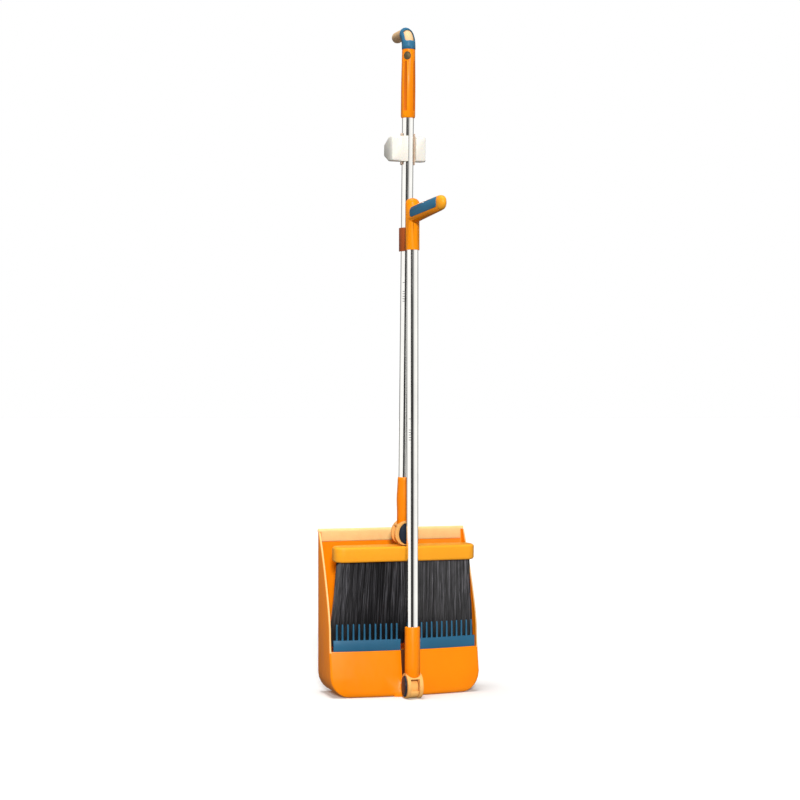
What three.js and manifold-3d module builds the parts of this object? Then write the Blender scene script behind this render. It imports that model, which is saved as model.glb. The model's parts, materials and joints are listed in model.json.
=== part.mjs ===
// An upright dust pan and broom set: the pan stands on its heel with its mouth up, its pole stands
// beside it on a hinge, and the broom hangs in the pole's clip with its bristles inside the pan.
// Millimetres, +Z up, -Y towards the user. The origin is the centre of the pan's bottom face.
import * as THREE from "three";
import { mergeVertices } from "three/addons/utils/BufferGeometryUtils.js";
import Module from "manifold-3d";

const wasm = await Module();
wasm.setup();

// Clearances
const GAP = 0.3; // between pieces that touch
const RUN = 0.6; // round a piece that slides or turns
const WASHER_PLAY = 0.25; // each side of a hinge washer

// Pan
const PAN_WIDTH = 268;
const PAN_HEIGHT = 276; // of the floor plate, without its lip
const PAN_DEPTH = 86; // at the side walls' foot
const PAN_REAR = 50; // outer face of the floor plate
const WALL = 3;
const HOOD_HEIGHT = 78;
const HOOD_BULGE = 13; // how far the hood's middle stands in front of its sides
const HEEL_RADIUS = 36; // bottom corners, seen from the front
const EDGE_RADIUS = 7; // bottom edges, seen from the side
const REAR_RADIUS = 6; // upright edges at the rear
const FRONT_RADIUS = 4; // upright edges at the hood
const CHANNEL_WIDTH = 23; // recess in the hood behind the pole
const CHANNEL_FLOOR = 17; // its floor, behind the hood's widest point
const BOSS = { width: 50, height: 33, proud: 5, split: 2 }; // swelling of the hood round the hinge
// Depth of the side walls: [share of the height, share of the depth]
const SIDE_PROFILE = [
  [0, 1], [0.13, 1], [0.225, 0.945], [0.32, 0.9], [0.44, 0.87],
  [0.57, 0.75], [0.73, 0.55], [0.82, 0.42], [0.92, 0.26], [1, 0.12],
];
const LIP = { height: 22, thickness: 2.4, overhang: 5.7 };
const COMB = { base: 19, teeth: 27, pitch: 9.4, tooth: 3, skirt: 11, skirtWall: 1.6 };

// Poles
const POLE_RADIUS = 10;
const POLE_WALL = 0.8;
const PAN_POLE_FRONT = 70; // pole axis in front of the origin
const PAN_POLE_TOP = 832;
const PAN_SLEEVE_TOP = 121;
const PAN_SLEEVE_RADIUS = POLE_RADIUS + 3;

// Knuckles, the same at both poles' feet
const HINGE_HEIGHT = 20; // pan hinge axis above the floor
const KNUCKLE = { radius: 19.5, rise: 23, cheek: 5.75, slot: 15.5, beam: 13.8, saddle: 16, bed: 15.6 };
const TONGUE = { width: 13.5, radius: 10.5, neck: 17 };
const CAP = { width: 26, below: 17, above: 18.5, thickness: 2.8, sunk: 0.8 };
const PIN_RADIUS = 4;
const WASHER = { radius: 8, thickness: 0.5 };
const SPIGOT = { radius: POLE_RADIUS - POLE_WALL - 0.4, top: 55 }; // plug in the pole's foot
const SCREW = { shank: 1.8, head: 4, headHeight: 2, length: 17 };
const TONGUE_SCREWS = [11.5, BOSS.height - 1 - WALL - SCREW.head - 0.5]; // heights above the floor

// Handle at the pan pole's top
const HANDLE = { bottom: 759, top: PAN_POLE_TOP + 15, radius: POLE_RADIUS + 2, dome: 9 };
const HORN = { axis: 818, turn: 8, tilt: 6, length: 104, rootWidth: 24, tipWidth: 16 };
const HORN_STEPS = 3;
const HORN_HEIGHT = { root: 28.5, tip: 25 };
const HORN_CAP = { length: 15, plug: 5, plugDepth: 9 };
const INLAY = { start: 12.5, end: 103, low: -6.5, high: 11, proud: 0.4, deep: 1.6 };
const CLIP = { height: 40, wall: 1.6, reach: 5, web: 14 };

// Broom
const BROOM_BACK = 47; // swivel axis behind the pan pole's axis
const SWIVEL_HEIGHT = 276;
const BROOM_LEAN = 1.85; // degrees, top towards the pan's pole
const BROOM_SLEEVE = { bottom: 19.5, shoulder: 34, belly: 57, neck: 84, top: 97 };
const BROOM_SLEEVE_RADIUS = { foot: POLE_RADIUS + 2.2, belly: POLE_RADIUS + 3, top: POLE_RADIUS + 1.3 };
const GRIP = { bottom: 709.5, top: 826.5, radius: POLE_RADIUS + 2.3, neck: POLE_RADIUS + 1.3, corner: 3.5 };
const FLUTE = { turn: 42, radius: 5, depth: 1.5, bottom: 722, top: 806 };
const BADGE = { turn: 29, width: 12, height: 13.6, thickness: 1.5, sunk: 0.9, drop: 11.5 };
const HOOK = { bend: 30, radius: POLE_RADIUS - 0.4, reach: 64, skin: 1.8, skinEnd: 16 };
const HOOK_WINDOW = { tilt: 37.5, halfWidth: 8.5, height: 25, back: 3, up: 5 };
const HEAD = { width: 252, height: 26, depth: 42, top: KNUCKLE.radius + 0.7, corner: 17, edge: 4 };
const BRISTLES = { length: 145, width: 236, depth: 28, tipWidth: 257, tipFront: 7.6, tipRear: 16 };

// Wall holder, clamped on the broom's pole
const HOLDER = { bottom: 636, height: 43, width: 62, front: 8.5, block: 22, depth: 44, backHeight: 22 };
const JAW = { wall: 2, beyond: 5 };
const FINGER = { wall: 2.2, end: -3.5 }; // the arm that comes round the pole's left side
const PAD = { thickness: 2, width: 46, height: 18 };

const ROUND = 24; // facets round a pole

const material = (color, roughness, metalness = 0) =>
  new THREE.MeshStandardMaterial({ color, roughness, metalness });
const orange = material(0xf0861a, 0.4);
const paleOrange = material(0xf0b878, 0.4);
const amber = material(0xfaad2e, 0.4);
const peach = material(0xfdc586, 0.6);
const blue = material(0x2f5f7d, 0.45);
const navy = material(0x14263a, 0.35);
const steel = material(0xd8dadc, 0.15, 1);
const zinc = material(0xa8abb0, 0.35, 1);
const black = material(0x26272b, 0.7);
const nylon = material(0xe8e8e4, 0.5);
const white = material(0xfaf7ec, 0.45);
const jawRubber = material(0xb59a86, 0.8);
const foam = material(0x8b9096, 0.95);
const brass = material(0x6f6144, 0.5, 0.6);

// Solids -------------------------------------------------------------------------------------

// A closed geometry as a solid that can be joined and cut.
function solid(geometry) {
  const bare = new THREE.BufferGeometry();
  bare.setAttribute("position", geometry.getAttribute("position"));
  if (geometry.index) bare.setIndex(geometry.index);
  const merged = mergeVertices(bare, 1e-4);
  return new wasm.Manifold(
    new wasm.Mesh({
      numProp: 3,
      vertProperties: new Float32Array(merged.attributes.position.array),
      triVerts: new Uint32Array(merged.index.array),
    }),
  );
}

function geometryOf(made) {
  const found = made.getMesh();
  const geometry = new THREE.BufferGeometry();
  geometry.setAttribute("position", new THREE.BufferAttribute(found.vertProperties, 3));
  geometry.setIndex(new THREE.BufferAttribute(found.triVerts, 1));
  const flat = geometry.toNonIndexed();
  flat.computeVertexNormals();
  return flat;
}

function piece(name, made, finish, parent) {
  const mesh = new THREE.Mesh(made.isBufferGeometry ? made : geometryOf(made), finish);
  mesh.name = name;
  parent.add(mesh);
  return mesh;
}

const joined = (...solids) => solids.reduce((a, b) => a.add(b));
const cut = (first, ...tools) => tools.reduce((a, b) => a.subtract(b), first);

function box([x0, x1], [y0, y1], [z0, z1]) {
  const geometry = new THREE.BoxGeometry(x1 - x0, y1 - y0, z1 - z0);
  geometry.translate((x0 + x1) / 2, (y0 + y1) / 2, (z0 + z1) / 2);
  return solid(geometry);
}

// A solid turned on the Z axis, from [radius, height] points that start and end on the axis.
function turned(profile, facets = ROUND) {
  const points = profile.map(([radius, height]) => new THREE.Vector2(radius, height));
  const geometry = new THREE.LatheGeometry(points, facets);
  geometry.rotateX(Math.PI / 2);
  return solid(geometry);
}

const rod = (radius, bottom, top, facets = ROUND) =>
  turned([[0, bottom], [radius, bottom], [radius, top], [0, top]], facets);

// A flat outline pushed along Z from bottom to top.
function prism(outline, bottom, top) {
  const shape = Array.isArray(outline) ? new THREE.Shape(outline) : outline;
  const geometry = new THREE.ExtrudeGeometry(shape, { depth: top - bottom, bevelEnabled: false });
  geometry.translate(0, 0, bottom);
  return solid(geometry);
}

// The same pushed along X: the outline is [y, z] points.
const sidePrism = (outline, left, right) => prism(outline, left, right).rotate([90, 0, 90]);

// Rings of equal point counts, stacked bottom to top and closed with a fan at each end.
function loft(rings) {
  const count = rings[0].length;
  const points = rings.flat();
  const faces = [];
  for (let level = 0; level + 1 < rings.length; level++)
    for (let i = 0; i < count; i++) {
      const a = level * count + i;
      const b = level * count + ((i + 1) % count);
      faces.push(a, b, b + count, a, b + count, a + count);
    }
  for (const [level, flip] of [[0, true], [rings.length - 1, false]]) {
    const centre = new THREE.Vector3();
    rings[level].forEach((point) => centre.addScaledVector(point, 1 / count));
    points.push(centre);
    for (let i = 0; i < count; i++) {
      const a = level * count + i;
      const b = level * count + ((i + 1) % count);
      faces.push(points.length - 1, flip ? b : a, flip ? a : b);
    }
  }
  const geometry = new THREE.BufferGeometry().setFromPoints(points);
  geometry.setIndex(faces);
  return solid(geometry);
}

// A rounded rectangle as [x, y] points, anticlockwise.
function roundedRectangle([x0, x1], [y0, y1], radius, steps = 4) {
  const corners = [
    [x1 - radius, y0 + radius, -90], [x1 - radius, y1 - radius, 0],
    [x0 + radius, y1 - radius, 90], [x0 + radius, y0 + radius, 180],
  ];
  return corners.flatMap(([x, y, from]) =>
    Array.from({ length: steps + 1 }, (_, i) => {
      const angle = THREE.MathUtils.degToRad(from + (90 * i) / steps);
      return new THREE.Vector2(x + radius * Math.cos(angle), y + radius * Math.sin(angle));
    }),
  );
}

// Half an ellipse above the axis and half another below it.
function egg(halfWidth, below, above, steps = 24) {
  return Array.from({ length: steps }, (_, i) => {
    const angle = (2 * Math.PI * i) / steps;
    const rise = Math.sin(angle);
    return new THREE.Vector2(halfWidth * Math.cos(angle), rise * (rise < 0 ? below : above));
  });
}

// Pan ----------------------------------------------------------------------------------------

const quarterInset = (height, radius) =>
  height >= radius ? 0 : radius - Math.sqrt(radius ** 2 - (radius - Math.max(height, 0)) ** 2);

const sideCurve = new THREE.SplineCurve(SIDE_PROFILE.map(([up, deep]) => new THREE.Vector2(up, deep)));
const sideShares = sideCurve.getPoints(90).map(({ x, y }) => ({ x, y: Math.min(y, 1) }));

// Y of the side walls' front edge at a height.
function sideFront(height) {
  const up = THREE.MathUtils.clamp(height / PAN_HEIGHT, 0, 1);
  const after = Math.max(1, sideShares.findIndex((share) => share.x >= up));
  const low = sideShares[after - 1];
  const high = sideShares[after];
  const between = (up - low.x) / (high.x - low.x);
  return PAN_REAR - PAN_DEPTH * THREE.MathUtils.lerp(low.y, high.y, between);
}

// Y of the hood's outer face.
function hoodFront(x, height) {
  return sideFront(height) - HOOD_BULGE * (1 - (x / (PAN_WIDTH / 2)) ** 2);
}

// One level of the pan's outside, or of its inside when inset is the wall. The mouth is open to
// the front: its rings reach past the hood.
function panRing(height, inset, mouth = false) {
  const lift = height - inset;
  const half = PAN_WIDTH / 2 - inset - quarterInset(lift, HEEL_RADIUS - inset);
  const edge = quarterInset(lift, EDGE_RADIUS - inset);
  const rear = PAN_REAR - inset - edge;
  const rearRadius = REAR_RADIUS - inset;
  const frontRadius = FRONT_RADIUS - inset / 2;
  const front = (x) => (mouth ? hoodFront(0, 0) - 10 : hoodFront(x, height) + inset + edge);
  const ring = [];
  const arc = (cx, cy, radius, from) => {
    for (let i = 0; i <= 3; i++) {
      const angle = THREE.MathUtils.degToRad(from + 30 * i);
      ring.push(new THREE.Vector3(cx + radius * Math.cos(angle), cy + radius * Math.sin(angle), height));
    }
  };
  arc(-half + frontRadius, front(-half) + frontRadius, frontRadius, 180);
  const steps = 12;
  for (let i = 1; i < steps; i++) {
    const x = (half - frontRadius) * ((2 * i) / steps - 1);
    ring.push(new THREE.Vector3(x, front(x), height));
  }
  arc(half - frontRadius, front(half) + frontRadius, frontRadius, 270);
  arc(half - rearRadius, rear - rearRadius, rearRadius, 0);
  arc(-half + rearRadius, rear - rearRadius, rearRadius, 90);
  return ring;
}

const channelOutline = (grow) =>
  roundedRectangle(
    [-CHANNEL_WIDTH / 2 - grow, CHANNEL_WIDTH / 2 + grow],
    [hoodFront(0, 0) - 40, hoodFront(0, 0) + CHANNEL_FLOOR + grow], 4 + grow);

function panShell() {
  const heel = [0, 0.9, 3, EDGE_RADIUS, ...[0.33, 0.5, 0.72, 1].map((share) => share * HEEL_RADIUS)];
  const upper = (from, count, to) =>
    Array.from({ length: count }, (_, i) => from + ((to - from) * (i + 1)) / count);
  const outside = loft([...heel, ...upper(HEEL_RADIUS, 12, PAN_HEIGHT)].map((z) => panRing(z, 0)));
  const insideHeel = [0, 1, EDGE_RADIUS - WALL, 10, 16, 24, HEEL_RADIUS - WALL].map((z) => z + WALL);
  const inside = loft([
    ...[...insideHeel, ...upper(HEEL_RADIUS, 3, HOOD_HEIGHT)].map((z) => panRing(z, WALL)),
    ...[HOOD_HEIGHT, PAN_HEIGHT, PAN_HEIGHT + 20].map((z) => panRing(z, WALL, true)),
  ]);
  const channelFoot = BOSS.height - 1;
  const channel = prism(channelOutline(0), channelFoot, HOOD_HEIGHT + 20);
  const channelWall = prism(channelOutline(WALL), channelFoot - WALL, HOOD_HEIGHT);
  const hollow = cut(inside, channelWall);
  const swelling = solid(new THREE.SphereGeometry(1, 20, 12).rotateX(Math.PI / 2))
    .scale([BOSS.width / 2, BOSS.proud + WALL, BOSS.height])
    .translate([0, hoodFront(0, 0) + WALL, 0]);
  const aboveFloor = box([-60, 60], [-80, hoodFront(0, 0) + WALL], [0, 60]);
  const halfTongue = TONGUE.width / 2 + BOSS.split;
  const tongueRoom = box([-halfTongue, halfTongue], [-80, hoodFront(0, 0)], [-1, 60]);
  const boss = cut(swelling.intersect(aboveFloor), tongueRoom);
  const knuckleRoom = rod(KNUCKLE.radius + RUN + 0.2, -18, 18, 40)
    .rotate([0, 90, 0])
    .translate([0, -PAN_POLE_FRONT, HINGE_HEIGHT]);
  const shell = cut(joined(cut(outside, hollow), boss), channel, knuckleRoom);
  return cut(shell, ...TONGUE_SCREWS.map(tongueScrewHole)).simplify(0.02);
}

// The soft strip on the mouth's edge: a flap in front of the floor plate and a bead on top of it.
function panLip() {
  const plate = PAN_REAR - WALL;
  const bottom = PAN_HEIGHT + LIP.overhang - LIP.height;
  const face = plate - GAP - LIP.thickness;
  const top = PAN_HEIGHT + LIP.overhang;
  const over = PAN_HEIGHT + GAP;
  const outlineOf = (points) => points.map(([y, z]) => new THREE.Vector2(y, z));
  const flap = outlineOf([
    [face + 1.2, bottom], [plate - GAP, bottom], [plate - GAP, over + 1], [face, over + 1],
    [face, bottom + 2],
  ]);
  const bead = outlineOf([
    [face, over], [PAN_REAR, over], [PAN_REAR, top - 2], [PAN_REAR - 1.5, top], [plate - GAP - 1, top],
    [face, top - 3],
  ]);
  const half = PAN_WIDTH / 2 - REAR_RADIUS;
  const beadHalf = PAN_WIDTH / 2 - 0.5;
  return joined(sidePrism(flap, -half, half), sidePrism(bead, -beadHalf, beadHalf));
}

// A comb strip that sits on one half of the hood's edge, with a skirt down the hood's inside.
function comb(side) {
  const start = CHANNEL_WIDTH / 2 + GAP;
  const end = PAN_WIDTH / 2 - WALL - FRONT_RADIUS;
  const face = (x) => hoodFront(x, HOOD_HEIGHT) + 0.4;
  const inner = (x) => hoodFront(x, HOOD_HEIGHT) + WALL + 2 * GAP + COMB.skirtWall;
  const strip = (outer, from, to, bottom, top) => {
    const steps = 8;
    const xs = Array.from({ length: steps + 1 }, (_, i) => from + ((to - from) * i) / steps);
    const front = xs.map((x) => new THREE.Vector2(x, outer(x)));
    const back = xs.map((x) => new THREE.Vector2(x, inner(x))).reverse();
    return prism([...front, ...back], bottom, top);
  };
  const baseTop = HOOD_HEIGHT + COMB.base;
  const skirtFace = (x) => inner(x) - COMB.skirtWall;
  const base = strip(face, start, end, HOOD_HEIGHT + GAP, baseTop);
  const skirt = strip(skirtFace, start + WALL, end - WALL, HOOD_HEIGHT - COMB.skirt, HOOD_HEIGHT + 2);
  const parts = [base, skirt];
  for (let x = start + COMB.tooth; x < end - COMB.tooth; x += COMB.pitch) {
    const slope = (face(x + 1) - face(x - 1)) / 2;
    const tooth = box([-COMB.tooth / 2, COMB.tooth / 2], [0, WALL], [baseTop - 1, baseTop + COMB.teeth]);
    parts.push(
      tooth.rotate([0, 0, THREE.MathUtils.radToDeg(Math.atan(slope))]).translate([x, face(x) + 0.4, 0]),
    );
  }
  const right = joined(...parts);
  return side > 0 ? right : right.mirror([1, 0, 0]);
}

// Knuckles -----------------------------------------------------------------------------------
// A knuckle's own frame has the hinge axis along X through its origin and the pole up along Z.

const halfKnuckle = KNUCKLE.slot / 2 + KNUCKLE.cheek;
const saddleHeight = KNUCKLE.saddle + KNUCKLE.bed; // centre of the saddle's curve

// The round bed where the sleeve's foot sits on the knuckle.
const saddleBed = (grow) =>
  rod(KNUCKLE.bed + grow, -30, 30, 28).rotate([90, 0, 0]).translate([0, 0, saddleHeight]);

function fork() {
  const oval = sidePrism(egg(KNUCKLE.radius, KNUCKLE.radius, KNUCKLE.rise), -halfKnuckle, halfKnuckle);
  const half = KNUCKLE.slot / 2;
  const slot = box([-half, half], [-30, 30], [-30, KNUCKLE.beam]);
  const bed = saddleBed(GAP);
  const bore = rod(PIN_RADIUS + GAP, -20, 20).rotate([0, 90, 0]);
  const recess = capPrism(GAP, halfKnuckle - CAP.sunk, halfKnuckle + 5);
  const spigot = rod(SPIGOT.radius, KNUCKLE.beam, SPIGOT.top);
  return joined(cut(oval, slot, bed, recess, recess.mirror([1, 0, 0])), spigot).subtract(bore);
}

const capPrism = (grow, left, right) =>
  sidePrism(egg(CAP.width / 2 + grow, CAP.below + grow, CAP.above + grow), left, right);

// An oval cover with a softened rim.
function knuckleCap(side) {
  const inner = halfKnuckle - CAP.sunk + GAP;
  const outer = inner + CAP.thickness;
  const plate = joined(capPrism(0, inner, outer - 0.8), capPrism(-0.9, inner, outer));
  return side > 0 ? plate : plate.mirror([1, 0, 0]);
}

const knucklePin = () => {
  const half = halfKnuckle - CAP.sunk - GAP;
  return rod(PIN_RADIUS, -half, half).rotate([0, 90, 0]);
};

function knuckleWasher(side) {
  const inner = TONGUE.width / 2 + WASHER_PLAY;
  const hole = PIN_RADIUS + GAP;
  const profile = [
    [hole, inner], [WASHER.radius, inner], [WASHER.radius, inner + WASHER.thickness],
    [hole, inner + WASHER.thickness], [hole, inner],
  ];
  return turned(profile, 16).rotate([0, side * 90, 0]);
}

function sleeveFoot(profile) {
  const bore = rod(POLE_RADIUS + GAP, 0, 400);
  const above = box([-30, 30], [-30, 30], [saddleHeight, 500]);
  return turned(profile).intersect(joined(saddleBed(0), above)).subtract(bore);
}

function tube(bottom, top) {
  const inner = POLE_RADIUS - POLE_WALL;
  const outer = POLE_RADIUS;
  return turned([[inner, bottom], [outer, bottom], [outer, top], [inner, top], [inner, bottom]]);
}

function knuckleSet(parent, names) {
  piece(names.fork, fork(), paleOrange, parent);
  piece(names.pin, knucklePin(), steel, parent);
  for (const [i, side] of [-1, 1].entries()) {
    piece(names.caps[i], knuckleCap(side), navy, parent);
    piece(names.washers[i], knuckleWasher(side), nylon, parent);
  }
}

// The pan's tongue: round where the pole's knuckle turns, with a ledge that stops it, and a neck
// back to the hood. Its screws come through the hood from inside the pan.
const hoodSeat = hoodFront(0, 0) + PAN_POLE_FRONT; // hood face behind the hinge axis

const screwSeat = hoodFront(0, 0) + WALL + GAP;

// A screw through the hood into the tongue, its head inside the pan.
function tongueScrew(height) {
  const shank = rod(SCREW.shank, 0, SCREW.length, 12);
  const head = rod(SCREW.head, -SCREW.headHeight, 0, 16);
  return joined(shank, head).rotate([90, 0, 0]).translate([0, screwSeat, height]);
}

// The hole for its shank, and room for its head in whatever stands beside it inside the pan.
function tongueScrewHole(height) {
  const shank = rod(SCREW.shank + GAP, -2, SCREW.length + GAP, 12);
  const headRoom = rod(SCREW.head + GAP, -SCREW.headHeight - 5, 0, 16);
  return joined(shank, headRoom).rotate([90, 0, 0]).translate([0, screwSeat, height]);
}

function panTongue() {
  const point = (y, z) => new THREE.Vector2(y, z);
  const outline = [point(hoodSeat - GAP, -16), point(hoodSeat - GAP, 10)];
  const polar = (radius, from, to, steps) => {
    for (let i = 0; i <= steps; i++) {
      const angle = THREE.MathUtils.degToRad(from + ((to - from) * i) / steps);
      outline.push(point(radius * Math.cos(angle), radius * Math.sin(angle)));
    }
  };
  polar(TONGUE.radius, 50, 212, 11);
  outline.push(point(-14.3, -7), point(-13.2, -11), point(-9, -15.6), point(-3, -18.4), point(4, -19));
  outline.push(point(12, -18.4));
  const half = TONGUE.width / 2;
  const bore = rod(PIN_RADIUS + GAP, -20, 20).rotate([0, 90, 0]);
  const body = sidePrism(outline.reverse(), -half, half)
    .subtract(bore).translate([0, -PAN_POLE_FRONT, HINGE_HEIGHT]);
  return cut(body, ...TONGUE_SCREWS.map(tongueScrewHole));
}

// Handle -------------------------------------------------------------------------------------

// The horn in its own frame: along +Z from the pole's axis, X across, Y up.
function horn(grow, from, to, count) {
  const rings = Array.from({ length: count + 1 }, (_, i) => {
    const along = from + ((to - from) * i) / count;
    const share = THREE.MathUtils.clamp(along / HORN.length, 0, 1);
    const halfWidth = THREE.MathUtils.lerp(HORN.rootWidth, HORN.tipWidth, share) / 2 + grow;
    const halfHeight = THREE.MathUtils.lerp(HORN_HEIGHT.root, HORN_HEIGHT.tip, share) / 2 + grow;
    return hornRing(halfWidth, halfHeight, along);
  });
  return loft(rings);
}

function hornRing(halfWidth, halfHeight, along) {
  const power = 0.8; // squarer than an ellipse
  return Array.from({ length: 20 }, (_, i) => {
    const angle = (2 * Math.PI * i) / 20;
    const x = Math.sign(Math.cos(angle)) * Math.abs(Math.cos(angle)) ** power;
    const y = Math.sign(Math.sin(angle)) * Math.abs(Math.sin(angle)) ** power;
    return new THREE.Vector3(halfWidth * x, halfHeight * y, along);
  });
}

// Outline of an inlay in the horn's side, pushed across one half of the horn.
function inlaySlot(grow, side) {
  const outline = roundedRectangle(
    [INLAY.start - grow, INLAY.end + grow], [INLAY.low - grow, INLAY.high + grow], 5, 4);
  const slot = prism(outline, 1, 30).rotate([0, -90, 0]);
  return side < 0 ? slot : slot.mirror([1, 0, 0]);
}

function placeHorn(made) {
  return made
    .rotate([90 - HORN.tilt, 0, 0])
    .rotate([0, 0, HORN.turn])
    .translate([0, 0, HORN.axis]);
}

function clipAxis(height) {
  const lean = Math.tan(THREE.MathUtils.degToRad(BROOM_LEAN));
  return BROOM_BACK - (height - SWIVEL_HEIGHT) * lean;
}

// A channel open to the rear that holds the broom's pole, from its nearest to its farthest place.
function clipChannel(radius, reach) {
  const near = clipAxis(HANDLE.bottom + CLIP.height);
  const far = clipAxis(HANDLE.bottom);
  const outline = new THREE.Shape();
  outline.absarc(0, near, radius, Math.PI, 2 * Math.PI, false);
  outline.lineTo(radius, far + reach);
  outline.lineTo(-radius, far + reach);
  outline.closePath();
  return outline;
}

function handleBody() {
  const { bottom, top, radius, dome } = HANDLE;
  const domeSteps = 5;
  const crown = Array.from({ length: domeSteps + 1 }, (_, i) => {
    const angle = (Math.PI / 2) * (i / domeSteps);
    return [radius * Math.cos(angle), top - dome + dome * Math.sin(angle)];
  });
  crown[domeSteps][0] = 0;
  const sleeve = turned([[0, bottom], [radius, bottom], ...crown]);
  const pockets = [-1, 1].map((side) =>
    cut(inlaySlot(GAP, side), horn(-INLAY.deep - GAP, -5, HORN.length + 20, HORN_STEPS)));
  const plugBore = rod(HORN_CAP.plug + GAP, HORN.length - HORN_CAP.plugDepth - GAP, HORN.length + 5, 16);
  const bar = placeHorn(cut(horn(0, 2, HORN.length, HORN_STEPS), ...pockets, plugBore));
  const clipTop = bottom + CLIP.height;
  const near = clipAxis(clipTop);
  const arms = prism(clipChannel(POLE_RADIUS + RUN + CLIP.wall, CLIP.reach), bottom, clipTop);
  const web = box([-CLIP.web / 2, CLIP.web / 2], [2, near], [bottom, clipTop]);
  const broomRoom = prism(clipChannel(POLE_RADIUS + RUN, CLIP.reach + 10), bottom - 5, clipTop + 5);
  const bore = rod(POLE_RADIUS + GAP, bottom - 5, PAN_POLE_TOP + GAP);
  return cut(joined(sleeve, bar, arms, web), broomRoom, bore);
}

function handleInlay(side) {
  const skin = horn(INLAY.proud, -5, HORN.length + 20, HORN_STEPS);
  const core = horn(-INLAY.deep, -6, HORN.length + 21, HORN_STEPS);
  return placeHorn(inlaySlot(0, side).intersect(skin).subtract(core));
}

function hornCap() {
  const start = HORN.length + GAP;
  const steps = 6;
  const rings = Array.from({ length: steps }, (_, i) => {
    const share = Math.sin((Math.PI / 2) * (i / steps));
    const scale = Math.cos((Math.PI / 2) * (i / steps));
    const along = start + HORN_CAP.length * share;
    return hornRing((HORN.tipWidth / 2) * scale, (HORN_HEIGHT.tip / 2) * scale, along);
  });
  const plug = rod(HORN_CAP.plug, HORN.length - HORN_CAP.plugDepth, start + 2, 16);
  return placeHorn(joined(loft(rings), plug));
}

// Broom --------------------------------------------------------------------------------------
// The broom's frame has its origin on the swivel axis and its pole along +Z.

function grip() {
  const { bottom, top, radius, neck, corner } = GRIP;
  const profile = [
    [0, bottom], [radius - corner, bottom], [radius - 1, bottom + 1.2], [radius, bottom + corner],
    [radius, bottom + 55], [neck + 0.3, top - 20], [neck, top], [0, top],
  ];
  const body = turned(profile, 28);
  const bore = rod(POLE_RADIUS + GAP, bottom - 5, top - 24);
  const coreBore = rod(HOOK.radius - 1, top - 30, top + 5);
  const flutes = [-1, 1].map((side) =>
    rod(FLUTE.radius, FLUTE.bottom, FLUTE.top, 20)
      .translate([0, -(radius + FLUTE.radius - FLUTE.depth), 0])
      .rotate([0, 0, side * FLUTE.turn]));
  return cut(body, bore, coreBore, ...flutes, badgePlate(GAP));
}

function badgePlate(grow) {
  const depth = BADGE.thickness + 2 * grow;
  const outline = egg(BADGE.width / 2 + grow, BADGE.height / 2 + grow, BADGE.height / 2 + grow);
  return prism(outline, 0, depth)
    .rotate([90, 0, 0])
    .translate([0, -(GRIP.neck + 0.2 - BADGE.sunk) + grow, GRIP.top - BADGE.drop])
    .rotate([0, 0, -BADGE.turn]);
}

// The hook's middle line: up out of the grip, round a bend and straight back.
function hookPath(from, to) {
  const path = new THREE.CurvePath();
  const bendCentre = new THREE.Vector3(0, HOOK.bend, GRIP.top + GAP);
  const bend = new THREE.QuadraticBezierCurve3(
    new THREE.Vector3(0, 0, bendCentre.z), new THREE.Vector3(0, 0, bendCentre.z + HOOK.bend),
    new THREE.Vector3(0, HOOK.bend, bendCentre.z + HOOK.bend));
  const end = bend.v2.clone().setY(to);
  if (from < bendCentre.z) path.add(new THREE.LineCurve3(new THREE.Vector3(0, 0, from), bend.v0));
  path.add(bend);
  path.add(new THREE.LineCurve3(bend.v2, end));
  return path;
}

function bentRod(radius, from, to, steps) {
  const section = new THREE.Shape().absarc(0, 0, radius, 0, 2 * Math.PI, false);
  return solid(
    new THREE.ExtrudeGeometry(section, { steps, extrudePath: hookPath(from, to), curveSegments: 8 }),
  );
}

const hookTop = GRIP.top + GAP + HOOK.bend;

function hookCore() {
  const thin = rod(HOOK.radius - 1 - GAP, GRIP.top - 24, GRIP.top + 4, 20);
  const rounded = solid(new THREE.SphereGeometry(HOOK.radius, 16, 10)).translate([0, HOOK.reach, hookTop]);
  return joined(thin, bentRod(HOOK.radius, GRIP.top, HOOK.reach, 14), rounded);
}

function hookSkin() {
  const radius = HOOK.radius + GAP + HOOK.skin;
  const outer = bentRod(radius, GRIP.top, HOOK.reach, 16);
  const kept = box([-30, 30], [-30, HOOK.skinEnd], [GRIP.top + GAP, GRIP.top + 100]);
  const inner = HOOK.radius + GAP;
  const bore = joined(
    bentRod(inner, GRIP.top - 3, HOOK.reach + 5, 18), rod(inner, GRIP.top - 5, GRIP.top + 3));
  const { tilt, halfWidth, height, back, up } = HOOK_WINDOW;
  const window = prism(roundedRectangle([-halfWidth, halfWidth], [0, height], 5), 0, 60)
    .rotate([90, 0, 0])
    .rotate([-tilt, 0, 0])
    .translate([0, back, GRIP.top + up]);
  return cut(outer.intersect(kept), bore, window);
}

function headBlock() {
  const { width, height, depth, top, corner, edge } = HEAD;
  const steps = 4;
  const rings = [];
  const ring = (inset, z) =>
    roundedRectangle(
      [-width / 2 + inset, width / 2 - inset], [-depth / 2 + inset, depth / 2 - inset], corner - inset, 5,
    ).map((point) => new THREE.Vector3(point.x, point.y, z));
  for (let i = 0; i <= steps; i++) {
    const angle = (Math.PI / 2) * (i / steps);
    rings.push(ring(edge * (1 - Math.sin(angle)), -top - height + edge * (1 - Math.cos(angle))));
  }
  for (let i = 0; i <= steps; i++) {
    const angle = (Math.PI / 2) * (i / steps);
    rings.push(ring(edge * (1 - Math.cos(angle)), -top - edge * (1 - Math.sin(angle))));
  }
  const room = rod(KNUCKLE.radius + RUN + 0.7, -18, 18, 40).rotate([90, 0, 0]);
  return cut(loft(rings), room, ...headScrews(GAP));
}

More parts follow.
